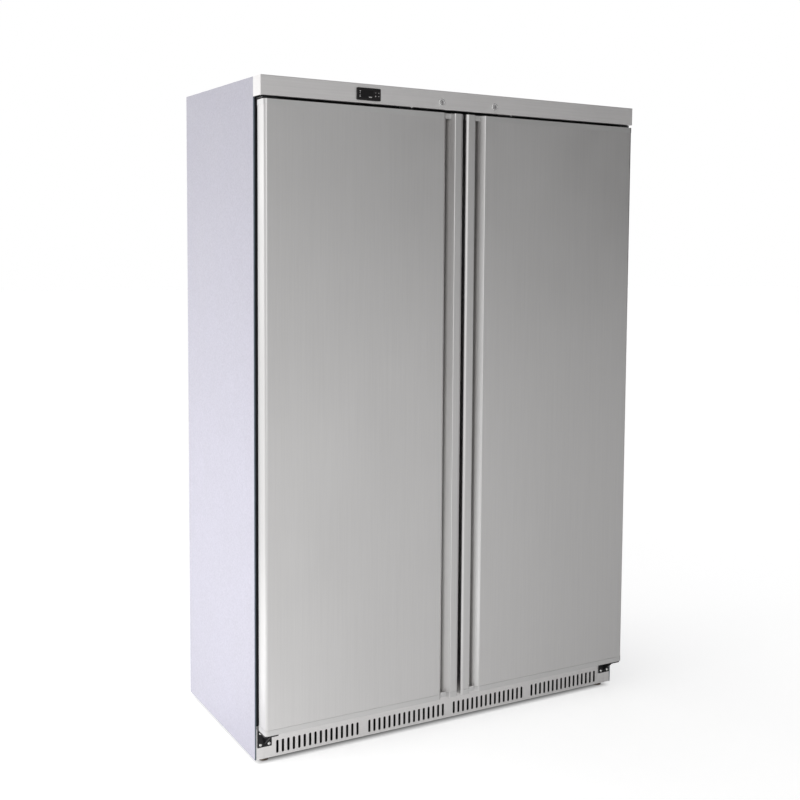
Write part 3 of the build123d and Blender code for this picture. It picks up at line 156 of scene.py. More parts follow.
# Camera, as fitted to the photograph's edges
CAMERA_PLACE = (-1.687, -3.409, 1.439)
CAMERA_TURN = 33.32
CAMERA_TILT = -4.40
CAMERA_ROLL = 0.95
FOCAL_PIXELS = 1213.75
PRINCIPAL_POINT = (559.9, 336.6)
IMAGE_SIZE = 800.0
SENSOR_WIDTH = 36.0
CAMERA_REACH = 200.0

# World: its strength from left to right, the most that this curve can take, and the share of the strength
# that is left overhead, from that rise on
WORLD_FADE = [
    (-1.0, 0.72),
    (-0.7, 0.84),
    (-0.35, 1.6),
    (-0.1, 0.98),
    (0.34, 0.46),
    (0.6, 0.19),
    (1.0, 0.05),
]
WORLD_PEAK = 2.0
OVERHEAD_SHARE = 0.5
OVERHEAD_RISE = 0.9

# Floor: painted shade under the cabinet, with a margin at its sides and an edge measured outwards from its
# outline
HALF_WIDTH = max(abs(cad_box[0].x), abs(cad_box[1].x))
HALF_DEPTH = max(abs(cad_box[0].y), abs(cad_box[1].y))
FLOOR_REACH = 30.0
FLOOR_COLOUR = (0.8, 0.8, 0.8)
SHADE_COLOUR = (0.03, 0.03, 0.03)
SHADE_MARGIN = 0.055
SHADE_EDGE = (-0.1, -0.06)

# Floor's glow: to the camera, and to metal and glass, which see it fade along one direction in front and rise
# again behind, on the left alone
CAMERA_GLOW = 0.62
FRONT_DIRECTION = (1.0, 0.53, 0.0)
FRONT_GLOW = (0.42, 0.07)
FRONT_SPAN = (-0.95, 0.65)
BACK_GLOW = 0.72
BACK_SPAN = (-0.3, 0.3)
LEFT_SPAN = (-0.5, 0.2)

# Lamp low on the left
LAMP_PLACE = (-2.1, 0.0, 0.6)
LAMP_TARGET = (-0.6, 0.0, 0.55)
LAMP_SIZE = (2.4, 0.7)
LAMP_POWER = 21.0

# Brushing: cells to the metre along it and across it, and its detail
FINE_BRUSHING = (24.0, 2400.0, 3.0)
BROAD_BRUSHING = (4.0, 260.0, 2.0)

# Other textures: cells to the metre, along all axes alike or along each
SMEARS = (5.0, 5.0, 3.0)
PAINT_PEBBLES = 230.0
PAINT_CLOUDS = 9.0
SPANGLES = 140.0
ZINC_GRAIN = 300.0
MOULDING_CLOUDS = 5.0
MOULDING_GRAIN = 1400.0
HANDLING_MARKS = (160.0, 160.0, 90.0)
METAL_GRAIN = 900.0
FOAM_CELLS = 700.0
FLOOR_CLOUDS = 3.0

# Depths of the textures' relief, the weight of the paint's clouds, and the shades of a moulding's colour
STEEL_RELIEF = 0.004 * MM
PEBBLE_RELIEF = 0.05 * MM
ZINC_RELIEF = 0.01 * MM
FOAM_RELIEF = 0.25 * MM
CLOUD_WEIGHT = (0.42, 0.58)
MOULDING_SHADES = (0.98, 1.02)

# Spans of a source: all of it, the middle of one noise, and the middle of two noises added together
WHOLE = (0.0, 1.0)
MIDDLE = (0.3, 0.7)
MIDDLE_OF_TWO = (0.7, 1.3)

# Sockets of a colour mix, by number, because several share a name
MIX_SHARE = 0
MIX_FIRST = 6
MIX_SECOND = 7
MIX_RESULT = 2

WHITE = (1.0, 1.0, 1.0, 1.0)


# Finishes
class Shading:
    """A node tree with one kind of coordinates."""

    def __init__(self, tree, coordinates):
        self.tree = tree
        self.place = self.node("ShaderNodeTexCoord").outputs[coordinates]

    def node(self, kind, **links):
        """New node with sources linked to its named inputs."""
        node = self.tree.nodes.new(kind)
        for socket, source in links.items():
            self.tree.links.new(source, node.inputs[socket])
        return node

    def axes(self):
        """Sources of the coordinates along X, Y and Z."""
        return self.node("ShaderNodeSeparateXYZ", Vector=self.place).outputs

    def between(self, source, low, high, span=MIDDLE):
        """A source's span, carried to the range from low to high."""
        ranged = self.node("ShaderNodeMapRange", Value=source)
        ranged.inputs["From Min"].default_value = span[0]
        ranged.inputs["From Max"].default_value = span[1]
        ranged.inputs["To Min"].default_value = low
        ranged.inputs["To Max"].default_value = high
        return ranged.outputs["Result"]

    def joined(self, operation, *sources):
        """Sources in one sum, product or larger value."""
        node = self.tree.nodes.new("ShaderNodeMath")
        node.operation = operation
        for socket, source in zip(node.inputs, sources):
            self.tree.links.new(source, socket)
        return node.outputs[0]

    def total(self, first, second):
        """Sum of two sources."""
        return self.joined("ADD", first, second)

    def product(self, *sources):
        """Product of two sources or more."""
        result, *others = sources
        for other in others:
            result = self.joined("MULTIPLY", result, other)
        return result

    def beyond(self, source, limit):
        """How far a source lies outside a limit on either side of zero."""
        past = self.tree.nodes.new("ShaderNodeMath")
        past.operation = "SUBTRACT"
        self.tree.links.new(self.joined("ABSOLUTE", source), past.inputs[0])
        past.inputs[1].default_value = limit
        return past.outputs[0]


class Finish(Shading):
    """A node material whose textures are laid out in the cabinet's own metres."""

    def __init__(self, name, colour, roughness, **sockets):
        self.name = name
        self.material = bpy.data.materials.new(name)
        self.material.use_nodes = True
        super().__init__(self.material.node_tree, "Object")
        self.shader = self.tree.nodes["Principled BSDF"]
        self.shader.inputs["Base Color"].default_value = (*colour, 1.0)
        self.shader.inputs["Roughness"].default_value = roughness
        for socket, value in sockets.items():
            self.shader.inputs[socket.replace("_", " ")].default_value = value

    def stretched(self, scale):
        """Coordinates with so many units to the metre, along all axes alike or along each."""
        mapping = self.node("ShaderNodeMapping", Vector=self.place)
        mapping.inputs["Scale"].default_value = (scale,) * 3 if isinstance(scale, float) else scale
        return mapping.outputs["Vector"]

    def noise(self, scale, detail=2.0):
        """Soft noise with so many cells to the metre."""
        texture = self.node("ShaderNodeTexNoise", Vector=self.stretched(scale))
        texture.inputs["Scale"].default_value = 1.0
        texture.inputs["Detail"].default_value = detail
        return texture.outputs["Fac"]

    def flakes(self, scale):
        """Patches with an even value each, so many to the metre."""
        texture = self.node("ShaderNodeTexVoronoi", Vector=self.stretched(scale))
        texture.inputs["Scale"].default_value = 1.0
        split = self.node("ShaderNodeSeparateColor", Color=texture.outputs["Color"])
        return split.outputs["Red"]

    def mixed(self, share, colour):
        """Mix that ends in a colour and gives the base colour."""
        mix = self.tree.nodes.new("ShaderNodeMix")
        mix.data_type = "RGBA"
        self.tree.links.new(share, mix.inputs[MIX_SHARE])
        mix.inputs[MIX_SECOND].default_value = (*colour, 1.0)
        self.tree.links.new(mix.outputs[MIX_RESULT], self.shader.inputs["Base Color"])
        return mix

    def colour(self, source, dark, light, span=MIDDLE):
        """Colour that varies with a source."""
        mix = self.mixed(self.between(source, 0.0, 1.0, span), light)
        mix.inputs[MIX_FIRST].default_value = (*dark, 1.0)
        return self

    def tinted(self, mask, colour):
        """Another colour over the present one, as far as a mask is open."""
        present = self.shader.inputs["Base Color"].links[0].from_socket
        mix = self.mixed(mask, colour)
        self.tree.links.new(present, mix.inputs[MIX_FIRST])
        return self

    def tinted_front(self, front, depth, colour):
        """Another colour as far behind a front as a depth, and gone at twice the depth."""
        span = (front + depth, front + 2 * depth)
        return self.tinted(self.between(self.axes()["Y"], 1.0, 0.0, span), colour)

    def rough(self, source, low, high, span=MIDDLE):
        """Roughness that varies with a source."""
        self.tree.links.new(self.between(source, low, high, span), self.shader.inputs["Roughness"])
        return self

    def bump(self, source, depth):
        """Relief of that depth in metres."""
        bump = self.node("ShaderNodeBump", Height=source)
        bump.inputs["Distance"].default_value = depth
        bump.inputs["Strength"].default_value = 1.0
        self.tree.links.new(bump.outputs["Normal"], self.shader.inputs["Normal"])
        return self


def brushed_steel(name, grain, dark, light, roughness):
    """Stainless sheet, brushed along one axis, with faint smears."""
    finish = Finish(name, light, roughness, Metallic=1.0)
    fine, broad = (
        finish.noise([along if axis == grain else across for axis in "xyz"], detail)
        for along, across, detail in (FINE_BRUSHING, BROAD_BRUSHING)
    )
    smear = finish.noise(SMEARS, detail=3.0)
    finish.colour(finish.total(fine, broad), dark, light, MIDDLE_OF_TWO)
    finish.rough(finish.total(fine, smear), roughness - 0.05, roughness + 0.06, MIDDLE_OF_TWO)
    return finish.bump(fine, STEEL_RELIEF)


def door_steel(name, dark, light, roughness, painted_highlight, painted_shade):
    """Upright-brushed door sheet; painted highlight low down in its handle groove, painted shade at its
    floor.
    """
    finish = brushed_steel(name, "z", dark, light, roughness)
    axes = finish.axes()
    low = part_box("right_door_skin")[0]
    reach = (GROOVE[0][0] + GROOVE[-1][0]) / 2 * MM
    width = (GROOVE[0][0] - GROOVE[-1][0]) * MM
    beside = finish.beyond(finish.beyond(axes["X"], low.x + reach), width)
    inside = finish.between(beside, 1.0, 0.0, (0.0, GROOVE_FADE))
    below = finish.between(axes["Y"], 0.0, 1.0, [low.y + depth for depth in HIGHLIGHT_DEPTHS])
    lower = finish.between(axes["Z"], 1.0, 0.0, GROOVE_LIGHT_HEIGHTS)
    # Painted highlight: the groove's walls made lighter low down, in place of reflected light
    finish.tinted(finish.product(inside, below, lower), painted_highlight)
    # Painted shade: the groove's floor made darker, in place of the shade deep inside it
    deep = finish.between(axes["Y"], 0.0, 1.0, [low.y + depth for depth in GROOVE_SHADE_DEPTHS])
    upper = finish.between(axes["Z"], LOW_SHADE_SHARE, 1.0, GROOVE_LIGHT_HEIGHTS)
    return finish.tinted(finish.product(inside, deep, upper), painted_shade)


def rail_steel(name, dark, light, roughness, compartment_shade):
    """Base rail's sheet: bright on the front post, with near-black painted shade in the machine compartment.
    """
    finish = brushed_steel(name, "x", dark, light, roughness)
    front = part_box("left_base_rail")[0].y
    span = (front + RAIL_SHADE, front + 2 * RAIL_SHADE)
    # Painted shade: the sheet turns near black behind its post, inside the machine compartment
    return finish.tinted(finish.between(finish.axes()["Y"], 0.0, 1.0, span), compartment_shade)


def speckled_paint(name, dark, light, roughness, edge):
    """Coil-coated sheet with a fine pebbled texture, its folded front edge coloured dark blue-grey."""
    finish = Finish(name, light, roughness)
    pebble = finish.noise(PAINT_PEBBLES)
    cloud = finish.noise(PAINT_CLOUDS, detail=3.0)
    mottle = finish.total(pebble, finish.between(cloud, *CLOUD_WEIGHT))
    finish.colour(mottle, dark, light, MIDDLE_OF_TWO)
    finish.rough(cloud, roughness - 0.05, roughness + 0.07)
    finish.tinted_front(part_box("left_side_panel")[0].y, EDGE_STRIP, edge)
    return finish.bump(pebble, PEBBLE_RELIEF)


def galvanised(name):
    """Zinc-coated sheet with its spangle."""
    finish = Finish(name, (0.60, 0.62, 0.64), 0.4, Metallic=0.85)
    spangle = finish.flakes(SPANGLES)
    finish.colour(spangle, (0.50, 0.52, 0.54), (0.66, 0.68, 0.70), WHOLE)
    finish.rough(spangle, 0.32, 0.5, WHOLE)
    return finish.bump(finish.noise(ZINC_GRAIN), ZINC_RELIEF)


def moulding(name, colour, roughness, pebble=0.02, **sockets):
    """Moulded plastic, slightly cloudy, with a fine pebble of that depth in millimetres."""
    finish = Finish(name, colour, roughness, **sockets)
    cloud = finish.noise(MOULDING_CLOUDS, detail=1.0)
    grain = finish.noise(MOULDING_GRAIN)
    mottle = finish.total(cloud, grain)
    dark, light = ([channel * shade for channel in colour] for shade in MOULDING_SHADES)
    finish.colour(mottle, dark, light, MIDDLE_OF_TWO)
    finish.rough(mottle, roughness - 0.03, roughness + 0.03, MIDDLE_OF_TWO)
    return finish.bump(grain, pebble * MM)


def rolled_metal(name, dark, light, roughness):
    """Drawn or plated metal with faint handling marks."""
    finish = Finish(name, light, roughness, Metallic=1.0)
    marks = finish.noise(HANDLING_MARKS, detail=4.0)
    finish.colour(marks, dark, light)
    finish.rough(marks, roughness - 0.06, roughness + 0.1)
    return finish.bump(finish.noise(METAL_GRAIN), STEEL_RELIEF)


def foam(name):
    """Cut rigid foam with its cells."""
    finish = Finish(name, (0.78, 0.68, 0.42), 0.85)
    cells = finish.noise(FOAM_CELLS, detail=3.0)
    finish.colour(cells, (0.66, 0.56, 0.32), (0.82, 0.73, 0.48))
    return finish.bump(cells, FOAM_RELIEF)


def front_shaded_foam(name, front_shade):
    """Cabinet's foam, its front face near black as painted shade behind the seal frame."""
    return foam(name).tinted_front(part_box("insulation")[0].y, FRONT_SHADE_WRAP, front_shade)


DOOR_SHEET = {"dark": (0.715, 0.705, 0.70), "light": (0.745, 0.735, 0.73), "roughness": 0.34}
PALE_SHEET = {"dark": (0.85, 0.835, 0.83), "light": (0.90, 0.885, 0.88), "roughness": 0.46}
SOFT_BLACK = (0.016, 0.014, 0.015)

finishes = {
    finish.name: finish
    for finish in (
        speckled_paint(
            "side_paint", (0.455, 0.444, 0.522), (0.58, 0.568, 0.655), 0.42, edge=(0.13, 0.17, 0.2)
        ),
        brushed_steel("stainless", "z", **DOOR_SHEET),
        # Door sheet with a painted highlight and painted shade in its handle groove
        door_steel("door_stainless", painted_highlight=(0.92, 0.915, 0.91), painted_shade=(0.36, 0.355, 0.35), **DOOR_SHEET),
        brushed_steel("stainless_across", "x", **PALE_SHEET),
        # Base rail with painted shade behind its post
        rail_steel("rail_stainless", compartment_shade=(0.03, 0.03, 0.03), **PALE_SHEET),
        galvanised("galvanised"),
        foam("foam"),
        # Foam with near-black painted shade on its front face
        front_shaded_foam("front_shaded_foam", SOFT_BLACK),
        moulding("white_moulding", (0.84, 0.85, 0.86), 0.32),
        moulding("grey_moulding", (0.72, 0.715, 0.71), 0.36, Metallic=1.0),
        moulding("black_moulding", SOFT_BLACK, 0.42, Specular_IOR_Level=0.25),
        moulding("gasket_rubber", (0.015, 0.015, 0.02), 0.55, Specular_IOR_Level=0.25),
        moulding("black_paint", (0.012, 0.012, 0.014), 0.4, 0.03, Specular_IOR_Level=0.3),
        rolled_metal("zinc", (0.86, 0.86, 0.85), (0.95, 0.95, 0.94), 0.2),
        rolled_metal("lock_zinc", (0.60, 0.59, 0.60), (0.76, 0.75, 0.75), 0.3),
        moulding("bush_nylon", (0.74, 0.74, 0.71), 0.4),
        moulding("display_glass", (0.009, 0.008, 0.009), 0.12, 0.002, Specular_IOR_Level=0.3),
        moulding("key_plastic", (0.022, 0.02, 0.021), 0.42, Specular_IOR_Level=0.25),
        rolled_metal("copper", (0.55, 0.27, 0.16), (0.72, 0.40, 0.27), 0.3),
        rolled_metal("aluminium_fin", (0.62, 0.63, 0.64), (0.76, 0.77, 0.78), 0.34),
        moulding("foot_plastic", (0.16, 0.12, 0.09), 0.5),
        moulding("mount_rubber", (0.02, 0.02, 0.02), 0.7),
        moulding("white_wire", (0.78, 0.79, 0.80), 0.35),
        moulding("print", (0.68, 0.66, 0.66), 0.5),
    )
}


# Mesh building
def rounded_path(corners, steps=8, closed=False):
    """Plan path through (x, y, radius) corners, with each radius drawn as an arc."""
    path = []
    count = len(corners)
    for index, (x, y, radius) in enumerate(corners):
        here = Vector((x, y))
        if radius == 0 or (not closed and index in (0, count - 1)):
            path.append(here)
            continue
        before = (Vector(corners[index - 1][:2]) - here).normalized()
        after = (Vector(corners[(index + 1) % count][:2]) - here).normalized()
        half = before.angle(after) / 2
        centre = here + (before + after).normalized() * (radius / math.sin(half))
        start = here + before * (radius / math.tan(half)) - centre
        end = here + after * (radius / math.tan(half)) - centre
        first = math.atan2(start.y, start.x)
        turn = math.atan2(start.cross(end), start.dot(end))
        for step in range(steps + 1):
            angle = first + turn * step / steps
            path.append(centre + Vector((math.cos(angle), math.sin(angle))) * radius)
    return path


def inner_path(path, gap):
    """Path a gap away from another, on its right where the gap is positive."""
    inside = []
    for index, point in enumerate(path):
        ahead = path[min(index + 1, len(path) - 1)]
        behind = path[max(index - 1, 0)]
        along = (ahead - behind).normalized()
        inside.append(point + Vector((along.y, -along.x)) * gap)
    return inside


def piece(name, mesh, slot_name, body, finish=None, sharp=35.0):
    """Finished piece from a bmesh: shaded, coloured and riding on its body."""
    data = bpy.data.meshes.new(name)
    bmesh.ops.recalc_face_normals(mesh, faces=mesh.faces)
    mesh.to_mesh(data)
    mesh.free()
    data.shade_smooth()
    data.set_sharp_from_angle(angle=math.radians(sharp))
    data.materials.append(finishes[finish or slot_name].material)
    thing = bpy.data.objects.new(name, data)
    bpy.context.scene.collection.objects.link(thing)
    weighted = thing.modifiers.new("flat faces stay flat", "WEIGHTED_NORMAL")
    weighted.keep_sharp = True
    weighted.weight = 100
    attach(thing, body)
    return thing


def bridge(mesh, first, second, closed=False):
    """Quads between two rows of vertices."""
    count = len(first)
    for index in range(count if closed else count - 1):
        after = (index + 1) % count
        mesh.faces.new((first[index], first[after], second[after], second[index]))


def tube(mesh, path, radius, sides=10):
    """Round tube along a 3-D path, closed at both ends."""
    path = [Vector(point) for point in path]
    across = (path[1] - path[0]).orthogonal().normalized()
    last = None
    for index, point in enumerate(path):
        along = (path[min(index + 1, len(path) - 1)] - path[max(index - 1, 0)]).normalized()
        across = (across - along * across.dot(along)).normalized()
        over = along.cross(across)
        ring = []
        for side in range(sides):
            angle = math.tau * side / sides
            offset = (across * math.cos(angle) + over * math.sin(angle)) * radius
            ring.append(mesh.verts.new(point + offset))
        if last:
            bridge(mesh, last, ring, closed=True)
        else:
            mesh.faces.new(ring)
        last = ring
    mesh.faces.new(last)


def plate(mesh, outline, front, back):
    """Flat upright plate from an (x, z) outline between two depths."""
    near = [mesh.verts.new((x, front, z)) for x, z in outline]
    far = [mesh.verts.new((x, back, z)) for x, z in outline]
    mesh.faces.new(near)
    mesh.faces.new(far)
    bridge(mesh, near, far, closed=True)


# Doors
def door_skin(side, sign):
    """Folded door sheet with finely rounded bends; sign is -1 on the left."""
    low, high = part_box(f"{side}_door_skin")
    outer = max(abs(low.x), abs(high.x))
    free = min(abs(low.x), abs(high.x))
    front, back = low.y, high.y
    corners = [
        (outer - DOOR_RETURN, back, 0.0),
        (outer, back, RETURN_ROUND),
        (outer, front, DOOR_CORNER),
        *((free + reach * MM, front + depth * MM, bend * MM) for reach, depth, bend in GROOVE),
        (free, front, DOOR_CORNER),
        (free, back, RETURN_ROUND),
        (free + DOOR_RETURN, back, 0.0),
    ]
    outside = rounded_path(corners)
    inside = inner_path(outside, -SKIN)
    mesh = bmesh.new()
    rows = []
    for path in (outside, inside):
        for height in (low.z, high.z):
            rows.append([mesh.verts.new((sign * p.x, p.y, height)) for p in path])
    outer_low, outer_high, inner_low, inner_high = rows
    bridge(mesh, outer_low, outer_high)
    bridge(mesh, inner_low, inner_high)
    bridge(mesh, outer_low, inner_low)
    bridge(mesh, outer_high, inner_high)
    for end in (0, -1):
        mesh.faces.new((outer_low[end], outer_high[end], inner_high[end], inner_low[end]))
    skin = piece(f"{side}_door_sheet", mesh, "stainless", f"{side}_door", "door_stainless")
    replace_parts(skin, f"{side}_door_skin")


def door_gasket(side):
    """Magnetic gasket: dart, bellows and the magnet's pocket, mitred at the corners."""
    low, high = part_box(f"{side}_door_gasket")
    depth = high.y - low.y
    corners = [(u * GASKET_HALF, v * depth, bend * MM) for u, v, bend in GASKET_CORNERS]
    corners += [(-u, v, bend) for u, v, bend in reversed(corners)]
    profile = rounded_path(corners, steps=3, closed=True)
    left = low.x + GASKET_HALF
    right = high.x - GASKET_HALF
    foot = low.z + GASKET_HALF
    head = high.z - GASKET_HALF
    mesh = bmesh.new()
    rings = []
    turns = ((left, -1, foot, -1), (right, 1, foot, -1), (right, 1, head, 1), (left, -1, head, 1))
    for x, sx, z, sz in turns:
        rings.append([mesh.verts.new((x + sx * p.x, low.y + p.y, z + sz * p.x)) for p in profile])
    for ring, after in zip(rings, rings[1:] + rings[:1]):
        bridge(mesh, ring, after, closed=True)
    gasket = piece(f"{side}_bellows_gasket", mesh, "gasket_rubber", f"{side}_door")
    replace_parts(gasket, f"{side}_door_gasket")


# Shelves
def evaporator(side, sign):
    """Wire-on-tube shelves: round wires welded across one long tube."""
    low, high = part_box(f"{side}_evaporator_shelves")
    far_x = max(abs(low.x), abs(high.x))
    near_x = min(abs(low.x), abs(high.x))
    middle = (far_x + near_x) / 2
    front = low.y
    back = high.y - RISER_LEG - TUBE_RADIUS
    first = low.z + 2 * TUBE_RADIUS + WIRE_LIFT
    mesh = bmesh.new()
    runs = [middle + (TUBE_RUNS - 1 - 2 * run) / 2 * TUBE_PITCH for run in range(TUBE_RUNS)]
    coil = []
    for run, x in enumerate(runs):
        ends = [back - TUBE_END_MARGIN, front + TUBE_END_MARGIN]
        for y in ends if run % 2 == 0 else reversed(ends):
            coil.append((sign * x, y, TUBE_TURN))
    coil[0] = (sign * runs[0], back, 0.0)
    coil[-1] = (sign * runs[-1], back, 0.0)
    coil = rounded_path(coil)
    for shelf in range(SHELF_COUNT):
        level = first + shelf * SHELF_PITCH
        under = level - TUBE_RADIUS - WIRE_LIFT
        tube(mesh, [(p.x, p.y, under) for p in coil], TUBE_RADIUS)
        if shelf + 1 < SHELF_COUNT:
            x = sign * runs[-1 if shelf % 2 == 0 else 0]
            bend = [
                (back, under, 0.0),
                (back + RISER_LEG, under, RISER_BEND),
                (back + RISER_LEG, under + SHELF_PITCH, RISER_BEND),
                (back, under + SHELF_PITCH, 0.0),
            ]
            tube(mesh, [(x, p.x, p.y) for p in rounded_path(bend)], TUBE_RADIUS)
        height = level + WIRE_RADIUS
        for wire in range(CROSS_WIRES):
            y = front + WIRE_RADIUS + wire * (back - front - 2 * WIRE_RADIUS) / (CROSS_WIRES - 1)
            tube(mesh, [(sign * near_x, y, height), (sign * far_x, y, height)], WIRE_RADIUS)
        for x in (near_x + BORDER / 2, middle, far_x - BORDER / 2):
            for aside in (WIRE_RADIUS - BORDER / 2, BORDER / 2 - WIRE_RADIUS):
                ends = [(sign * (x + aside), y, height) for y in (front, back)]
                tube(mesh, ends, WIRE_RADIUS)
    shelves = piece(f"{side}_wire_shelves", mesh, "white_wire", "cabinet", sharp=50.0)
    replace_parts(shelves, f"{side}_evaporator_shelves")


# Small front details
def screw_spots():
    """Low and high corner of each plain screw, sorted out of the node that holds them all."""
    node = nodes["cabinet_screws"]
    spots = []
    for vertex in node.data.vertices:
        place = node.matrix_world @ vertex.co
        near = [spot for spot in spots if (spot[0] - place).length < SCREW_SPREAD]
        if near:
            near[0].append(place)
        else:
            spots.append([place])
    for spot in spots:
        low = Vector(min(place[axis] for place in spot) for axis in range(3))
        high = Vector(max(place[axis] for place in spot) for axis in range(3))
        yield low, high


def screw(mesh, low, high, sides=32):
    """Pan-head screw with a domed face and a cross recess, its head at the low end of its axis."""
    size = high - low
    axis = 1 if size.y < size.z else 2
    out = Vector((0.0, -1.0, 0.0)) if axis == 1 else Vector((0.0, 0.0, -1.0))
    across = Vector((1.0, 0.0, 0.0))
    over = out.cross(across)
    seat = (low + high) / 2
    seat[axis] = low[axis] + SCREW_HEAD
    radius = size.x / 2
    profile = [(SCREW_RADIUS, SCREW_HEAD - size[axis]), (SCREW_RADIUS, 0.0), (radius, 0.0)]
    for row in range(SCREW_DOME_ROWS, 0, -1):
        share = row / SCREW_DOME_ROWS
        profile.append((radius * share, SCREW_HEAD - (SCREW_HEAD - SCREW_RIM) * share * share))
    last = None
    for reach, height in profile:
        ring = []
        for side in range(sides):
            angle = math.tau * side / sides
            u, v = reach * math.cos(angle), reach * math.sin(angle)
            recessed = height > SCREW_RIM and reach < RECESS_REACH * radius
            cut = recessed and min(abs(u), abs(v)) < RECESS_HALF_WIDTH
            rise = height - RECESS_DEPTH * cut
            ring.append(mesh.verts.new(seat + across * u + over * v + out * rise))
        if last:
            bridge(mesh, last, ring, closed=True)
        else:
            mesh.faces.new(ring)
        last = ring
    mesh.faces.new(last)


def screws():
    """All the screws of the hinges and the header's lip."""
    mesh = bmesh.new()
    for low, high in screw_spots():
        screw(mesh, low, high)
    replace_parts(piece("cross_head_screws", mesh, "zinc", "cabinet"), "cabinet_screws")


def print_mark(mesh, kind, x, z, face, size):
    """One small generic mark on the controller's face: bar, dot, up or down."""
    if kind in ("up", "down"):
        tip = size if kind == "up" else -size
        foot = z - tip * ARROW_FOOT
        outline = [(x - size, foot), (x + size, foot), (x, z + tip * ARROW_TIP)]
    elif kind == "bar":
        half = BAR_SHARE * size
        outline = [(x - size, z - half), (x + size, z - half), (x + size, z + half), (x - size, z + half)]
    else:
        angles = [math.tau * index / DOT_SIDES for index in range(DOT_SIDES)]
        outline = [(x + size * math.cos(angle), z + size * math.sin(angle)) for angle in angles]
    plate(mesh, outline, face - MARK_OUT, face + MARK_IN)


def controller_marks():
    """Pale marks beside the display and on the keys."""
    low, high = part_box("controller_window")
    mesh = bmesh.new()
    column = low.x + STATE_INSET
    states = ("dot", "bar", "bar", "dot")
    pitch = (high.z - low.z - 2 * STATE_INSET) / (len(states) - 1)
    for index, kind in enumerate(states):
        print_mark(mesh, kind, column, high.z - STATE_INSET - index * pitch, low.y, STATE_MARK)
    print_mark(mesh, "bar", high.x - UNIT_INSET[0], low.z + UNIT_INSET[1], low.y, UNIT_MARK)
    piece("display_marks", mesh, "key_plastic", "cabinet", "print")
    for key, kind in (("set", "bar"), ("up", "up"), ("defrost", "dot"), ("down", "down")):
        low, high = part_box(f"controller_{key}_key")
        mesh = bmesh.new()
        print_mark(mesh, kind, (low.x + high.x) / 2, (low.z + high.z) / 2, low.y, KEY_MARK)
        piece(f"{key}_key_mark", mesh, "key_plastic", f"{key}_key", "print")


for side, sign in (("left", -1), ("right", 1)):
    door_skin(side, sign)
    door_gasket(side)
    evaporator(side, sign)
controller_marks()
screws()


# Solids kept as they come from the frame
def soften(node, width, segments=2):
    """Small rounds on a solid's sharp edges, so that they catch the light."""
    weld = node.modifiers.new("weld", "WELD")
    weld.merge_threshold = WELD_REACH
    bevel = node.modifiers.new("edge rounds", "BEVEL")
    bevel.limit_method = "ANGLE"
    bevel.angle_limit = math.radians(SHARP_BEND)
    bevel.width = width
    bevel.segments = segments
    bevel.harden_normals = True


soften(nodes["lock_barrels"], BARREL_ROUND, BARREL_SEGMENTS)
for side in ("left", "right"):
    soften(nodes[f"{side}_lock_plug"], PLUG_ROUND)

OWN_FINISH = {
    "header_panel": "stainless_across",
    "kick_grille": "stainless_across",
    # the cabinet's foam has painted shade on its front face
    "insulation": "front_shaded_foam",
    "left_base_rail": "rail_stainless",
    "right_base_rail": "rail_stainless",
    "left_lock_plug": "lock_zinc",
    "right_lock_plug": "lock_zinc",
}
for entry in frame["record"]["subparts"]:
    name = entry["node"]
    finish = OWN_FINISH.get(name, entry["material_slot"])
    nodes[name].data.materials.clear()
    nodes[name].data.materials.append(finishes[finish].material)


# Studio
def studio_world():
    """White to the camera; light comes from the left, fades towards the right and is weaker overhead."""
    world = bpy.data.worlds.new("studio")
    bpy.context.scene.world = world
    world.use_nodes = True
    sky = Shading(world.node_tree, "Generated")
    axes = sky.axes()
    fade = sky.node("ShaderNodeFloatCurve", Value=axes["X"])
    fade.mapping.clip_min_x = WORLD_FADE[0][0]
    fade.mapping.clip_max_y = WORLD_PEAK
    curve = fade.mapping.curves[0]
    for point, place in zip(curve.points, (WORLD_FADE[0], WORLD_FADE[-1])):
        point.location = place
    for place in WORLD_FADE[1:-1]:
        curve.points.new(*place)
    fade.mapping.update()
    overhead = sky.between(axes["Z"], 1.0, OVERHEAD_SHARE, (0.0, OVERHEAD_RISE))
    light = sky.product(fade.outputs["Value"], overhead)
    to_camera = sky.node("ShaderNodeLightPath").outputs["Is Camera Ray"]
    background = sky.tree.nodes["Background"]
    background.inputs["Color"].default_value = WHITE
    sky.tree.links.new(sky.joined("MAXIMUM", light, to_camera), background.inputs["Strength"])


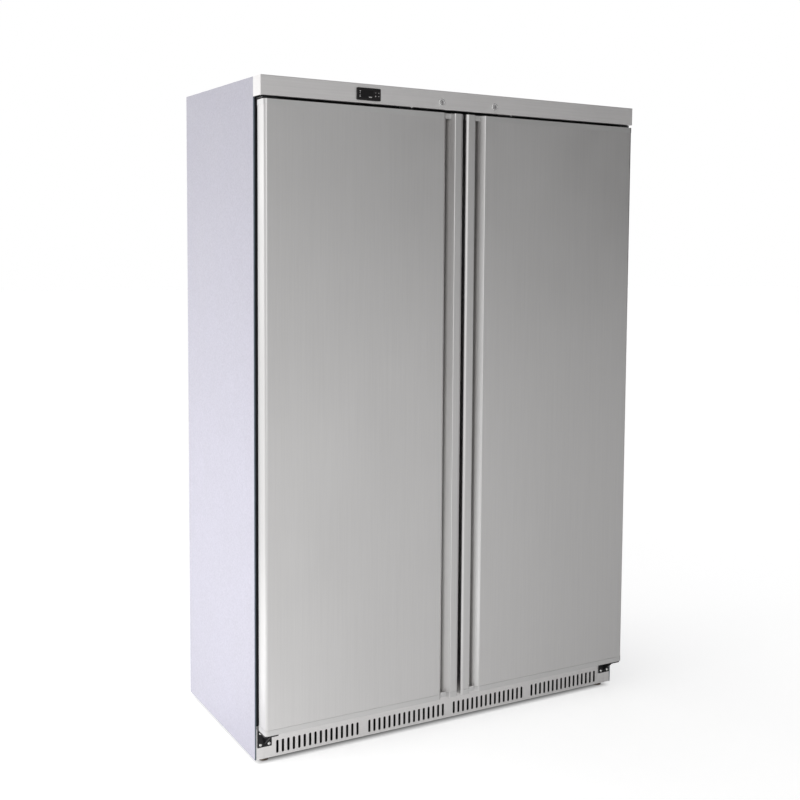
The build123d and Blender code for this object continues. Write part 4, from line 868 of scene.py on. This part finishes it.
def studio_floor():
    """Wide pale floor that keeps a soft shadow, with painted shade under the cabinet."""
    mesh = bmesh.new()
    bmesh.ops.create_grid(mesh, x_segments=1, y_segments=1, size=FLOOR_REACH)
    data = bpy.data.meshes.new("floor")
    mesh.to_mesh(data)
    mesh.free()
    floor = bpy.data.objects.new("floor", data)
    bpy.context.scene.collection.objects.link(floor)
    finish = Finish("floor", FLOOR_COLOUR, 0.9)
    finish.rough(finish.noise(FLOOR_CLOUDS), 0.85, 0.95)
    axes = finish.axes()
    beside = finish.beyond(axes["X"], HALF_WIDTH + SHADE_MARGIN)
    before = finish.beyond(axes["Y"], HALF_DEPTH)
    clear = finish.between(finish.joined("MAXIMUM", beside, before), 0.0, 1.0, SHADE_EDGE)
    # Painted shade: the floor's colour goes near black under the cabinet
    finish.colour(clear, SHADE_COLOUR, FLOOR_COLOUR, WHOLE)
    along = finish.node("ShaderNodeVectorMath", Vector=finish.place)
    along.operation = "DOT_PRODUCT"
    along.inputs[1].default_value = FRONT_DIRECTION
    in_front = finish.between(along.outputs["Value"], *FRONT_GLOW, FRONT_SPAN)
    behind = finish.between(axes["Y"], 0.0, BACK_GLOW, BACK_SPAN)
    leftward = finish.between(axes["X"], 1.0, 0.0, LEFT_SPAN)
    mirrored = finish.joined("MAXIMUM", in_front, finish.product(behind, leftward))
    path = finish.node("ShaderNodeLightPath").outputs
    to_camera = finish.between(path["Is Camera Ray"], 0.0, CAMERA_GLOW, WHOLE)
    to_metal = finish.product(finish.total(path["Is Glossy Ray"], path["Is Transmission Ray"]), mirrored)
    glow = finish.product(finish.total(to_camera, to_metal), clear)
    finish.shader.inputs["Emission Color"].default_value = WHITE
    finish.tree.links.new(glow, finish.shader.inputs["Emission Strength"])
    data.materials.append(finish.material)


def softbox(name, place, target, size, power):
    """Area lamp turned towards a point, unseen by the camera and in reflections."""
    lamp = bpy.data.lights.new(name, "AREA")
    lamp.shape = "RECTANGLE"
    lamp.size, lamp.size_y = size
    lamp.energy = power
    thing = bpy.data.objects.new(name, lamp)
    thing.location = place
    thing.rotation_euler = (Vector(target) - Vector(place)).to_track_quat("-Z", "Y").to_euler()
    thing.visible_camera = False
    thing.visible_glossy = False
    bpy.context.scene.collection.objects.link(thing)


def aim_camera():
    """Camera at the photograph's place, with its turn, tilt and slight roll."""
    turn, tilt, roll = (math.radians(angle) for angle in (CAMERA_TURN, CAMERA_TILT, CAMERA_ROLL))
    level = math.cos(tilt)
    forward = Vector((level * math.sin(turn), level * math.cos(turn), math.sin(tilt)))
    right = Vector((math.cos(turn), -math.sin(turn), 0.0))
    up = right.cross(forward)
    rolled_right = right * math.cos(roll) + up * math.sin(roll)
    rolled_up = up * math.cos(roll) - right * math.sin(roll)
    data = bpy.data.cameras.new("camera")
    data.sensor_width = SENSOR_WIDTH
    data.lens = SENSOR_WIDTH * FOCAL_PIXELS / IMAGE_SIZE
    data.shift_x = 0.5 - PRINCIPAL_POINT[0] / IMAGE_SIZE
    data.shift_y = PRINCIPAL_POINT[1] / IMAGE_SIZE - 0.5
    data.clip_end = CAMERA_REACH
    camera = bpy.data.objects.new("camera", data)
    turned_axes = Matrix((rolled_right, rolled_up, -forward)).transposed().to_4x4()
    camera.matrix_world = Matrix.Translation(CAMERA_PLACE) @ turned_axes
    bpy.context.scene.collection.objects.link(camera)
    bpy.context.scene.camera = camera


studio_world()
studio_floor()
softbox("low_left", LAMP_PLACE, LAMP_TARGET, LAMP_SIZE, LAMP_POWER)
aim_camera()
bpy.context.scene.view_settings.view_transform = "Standard"
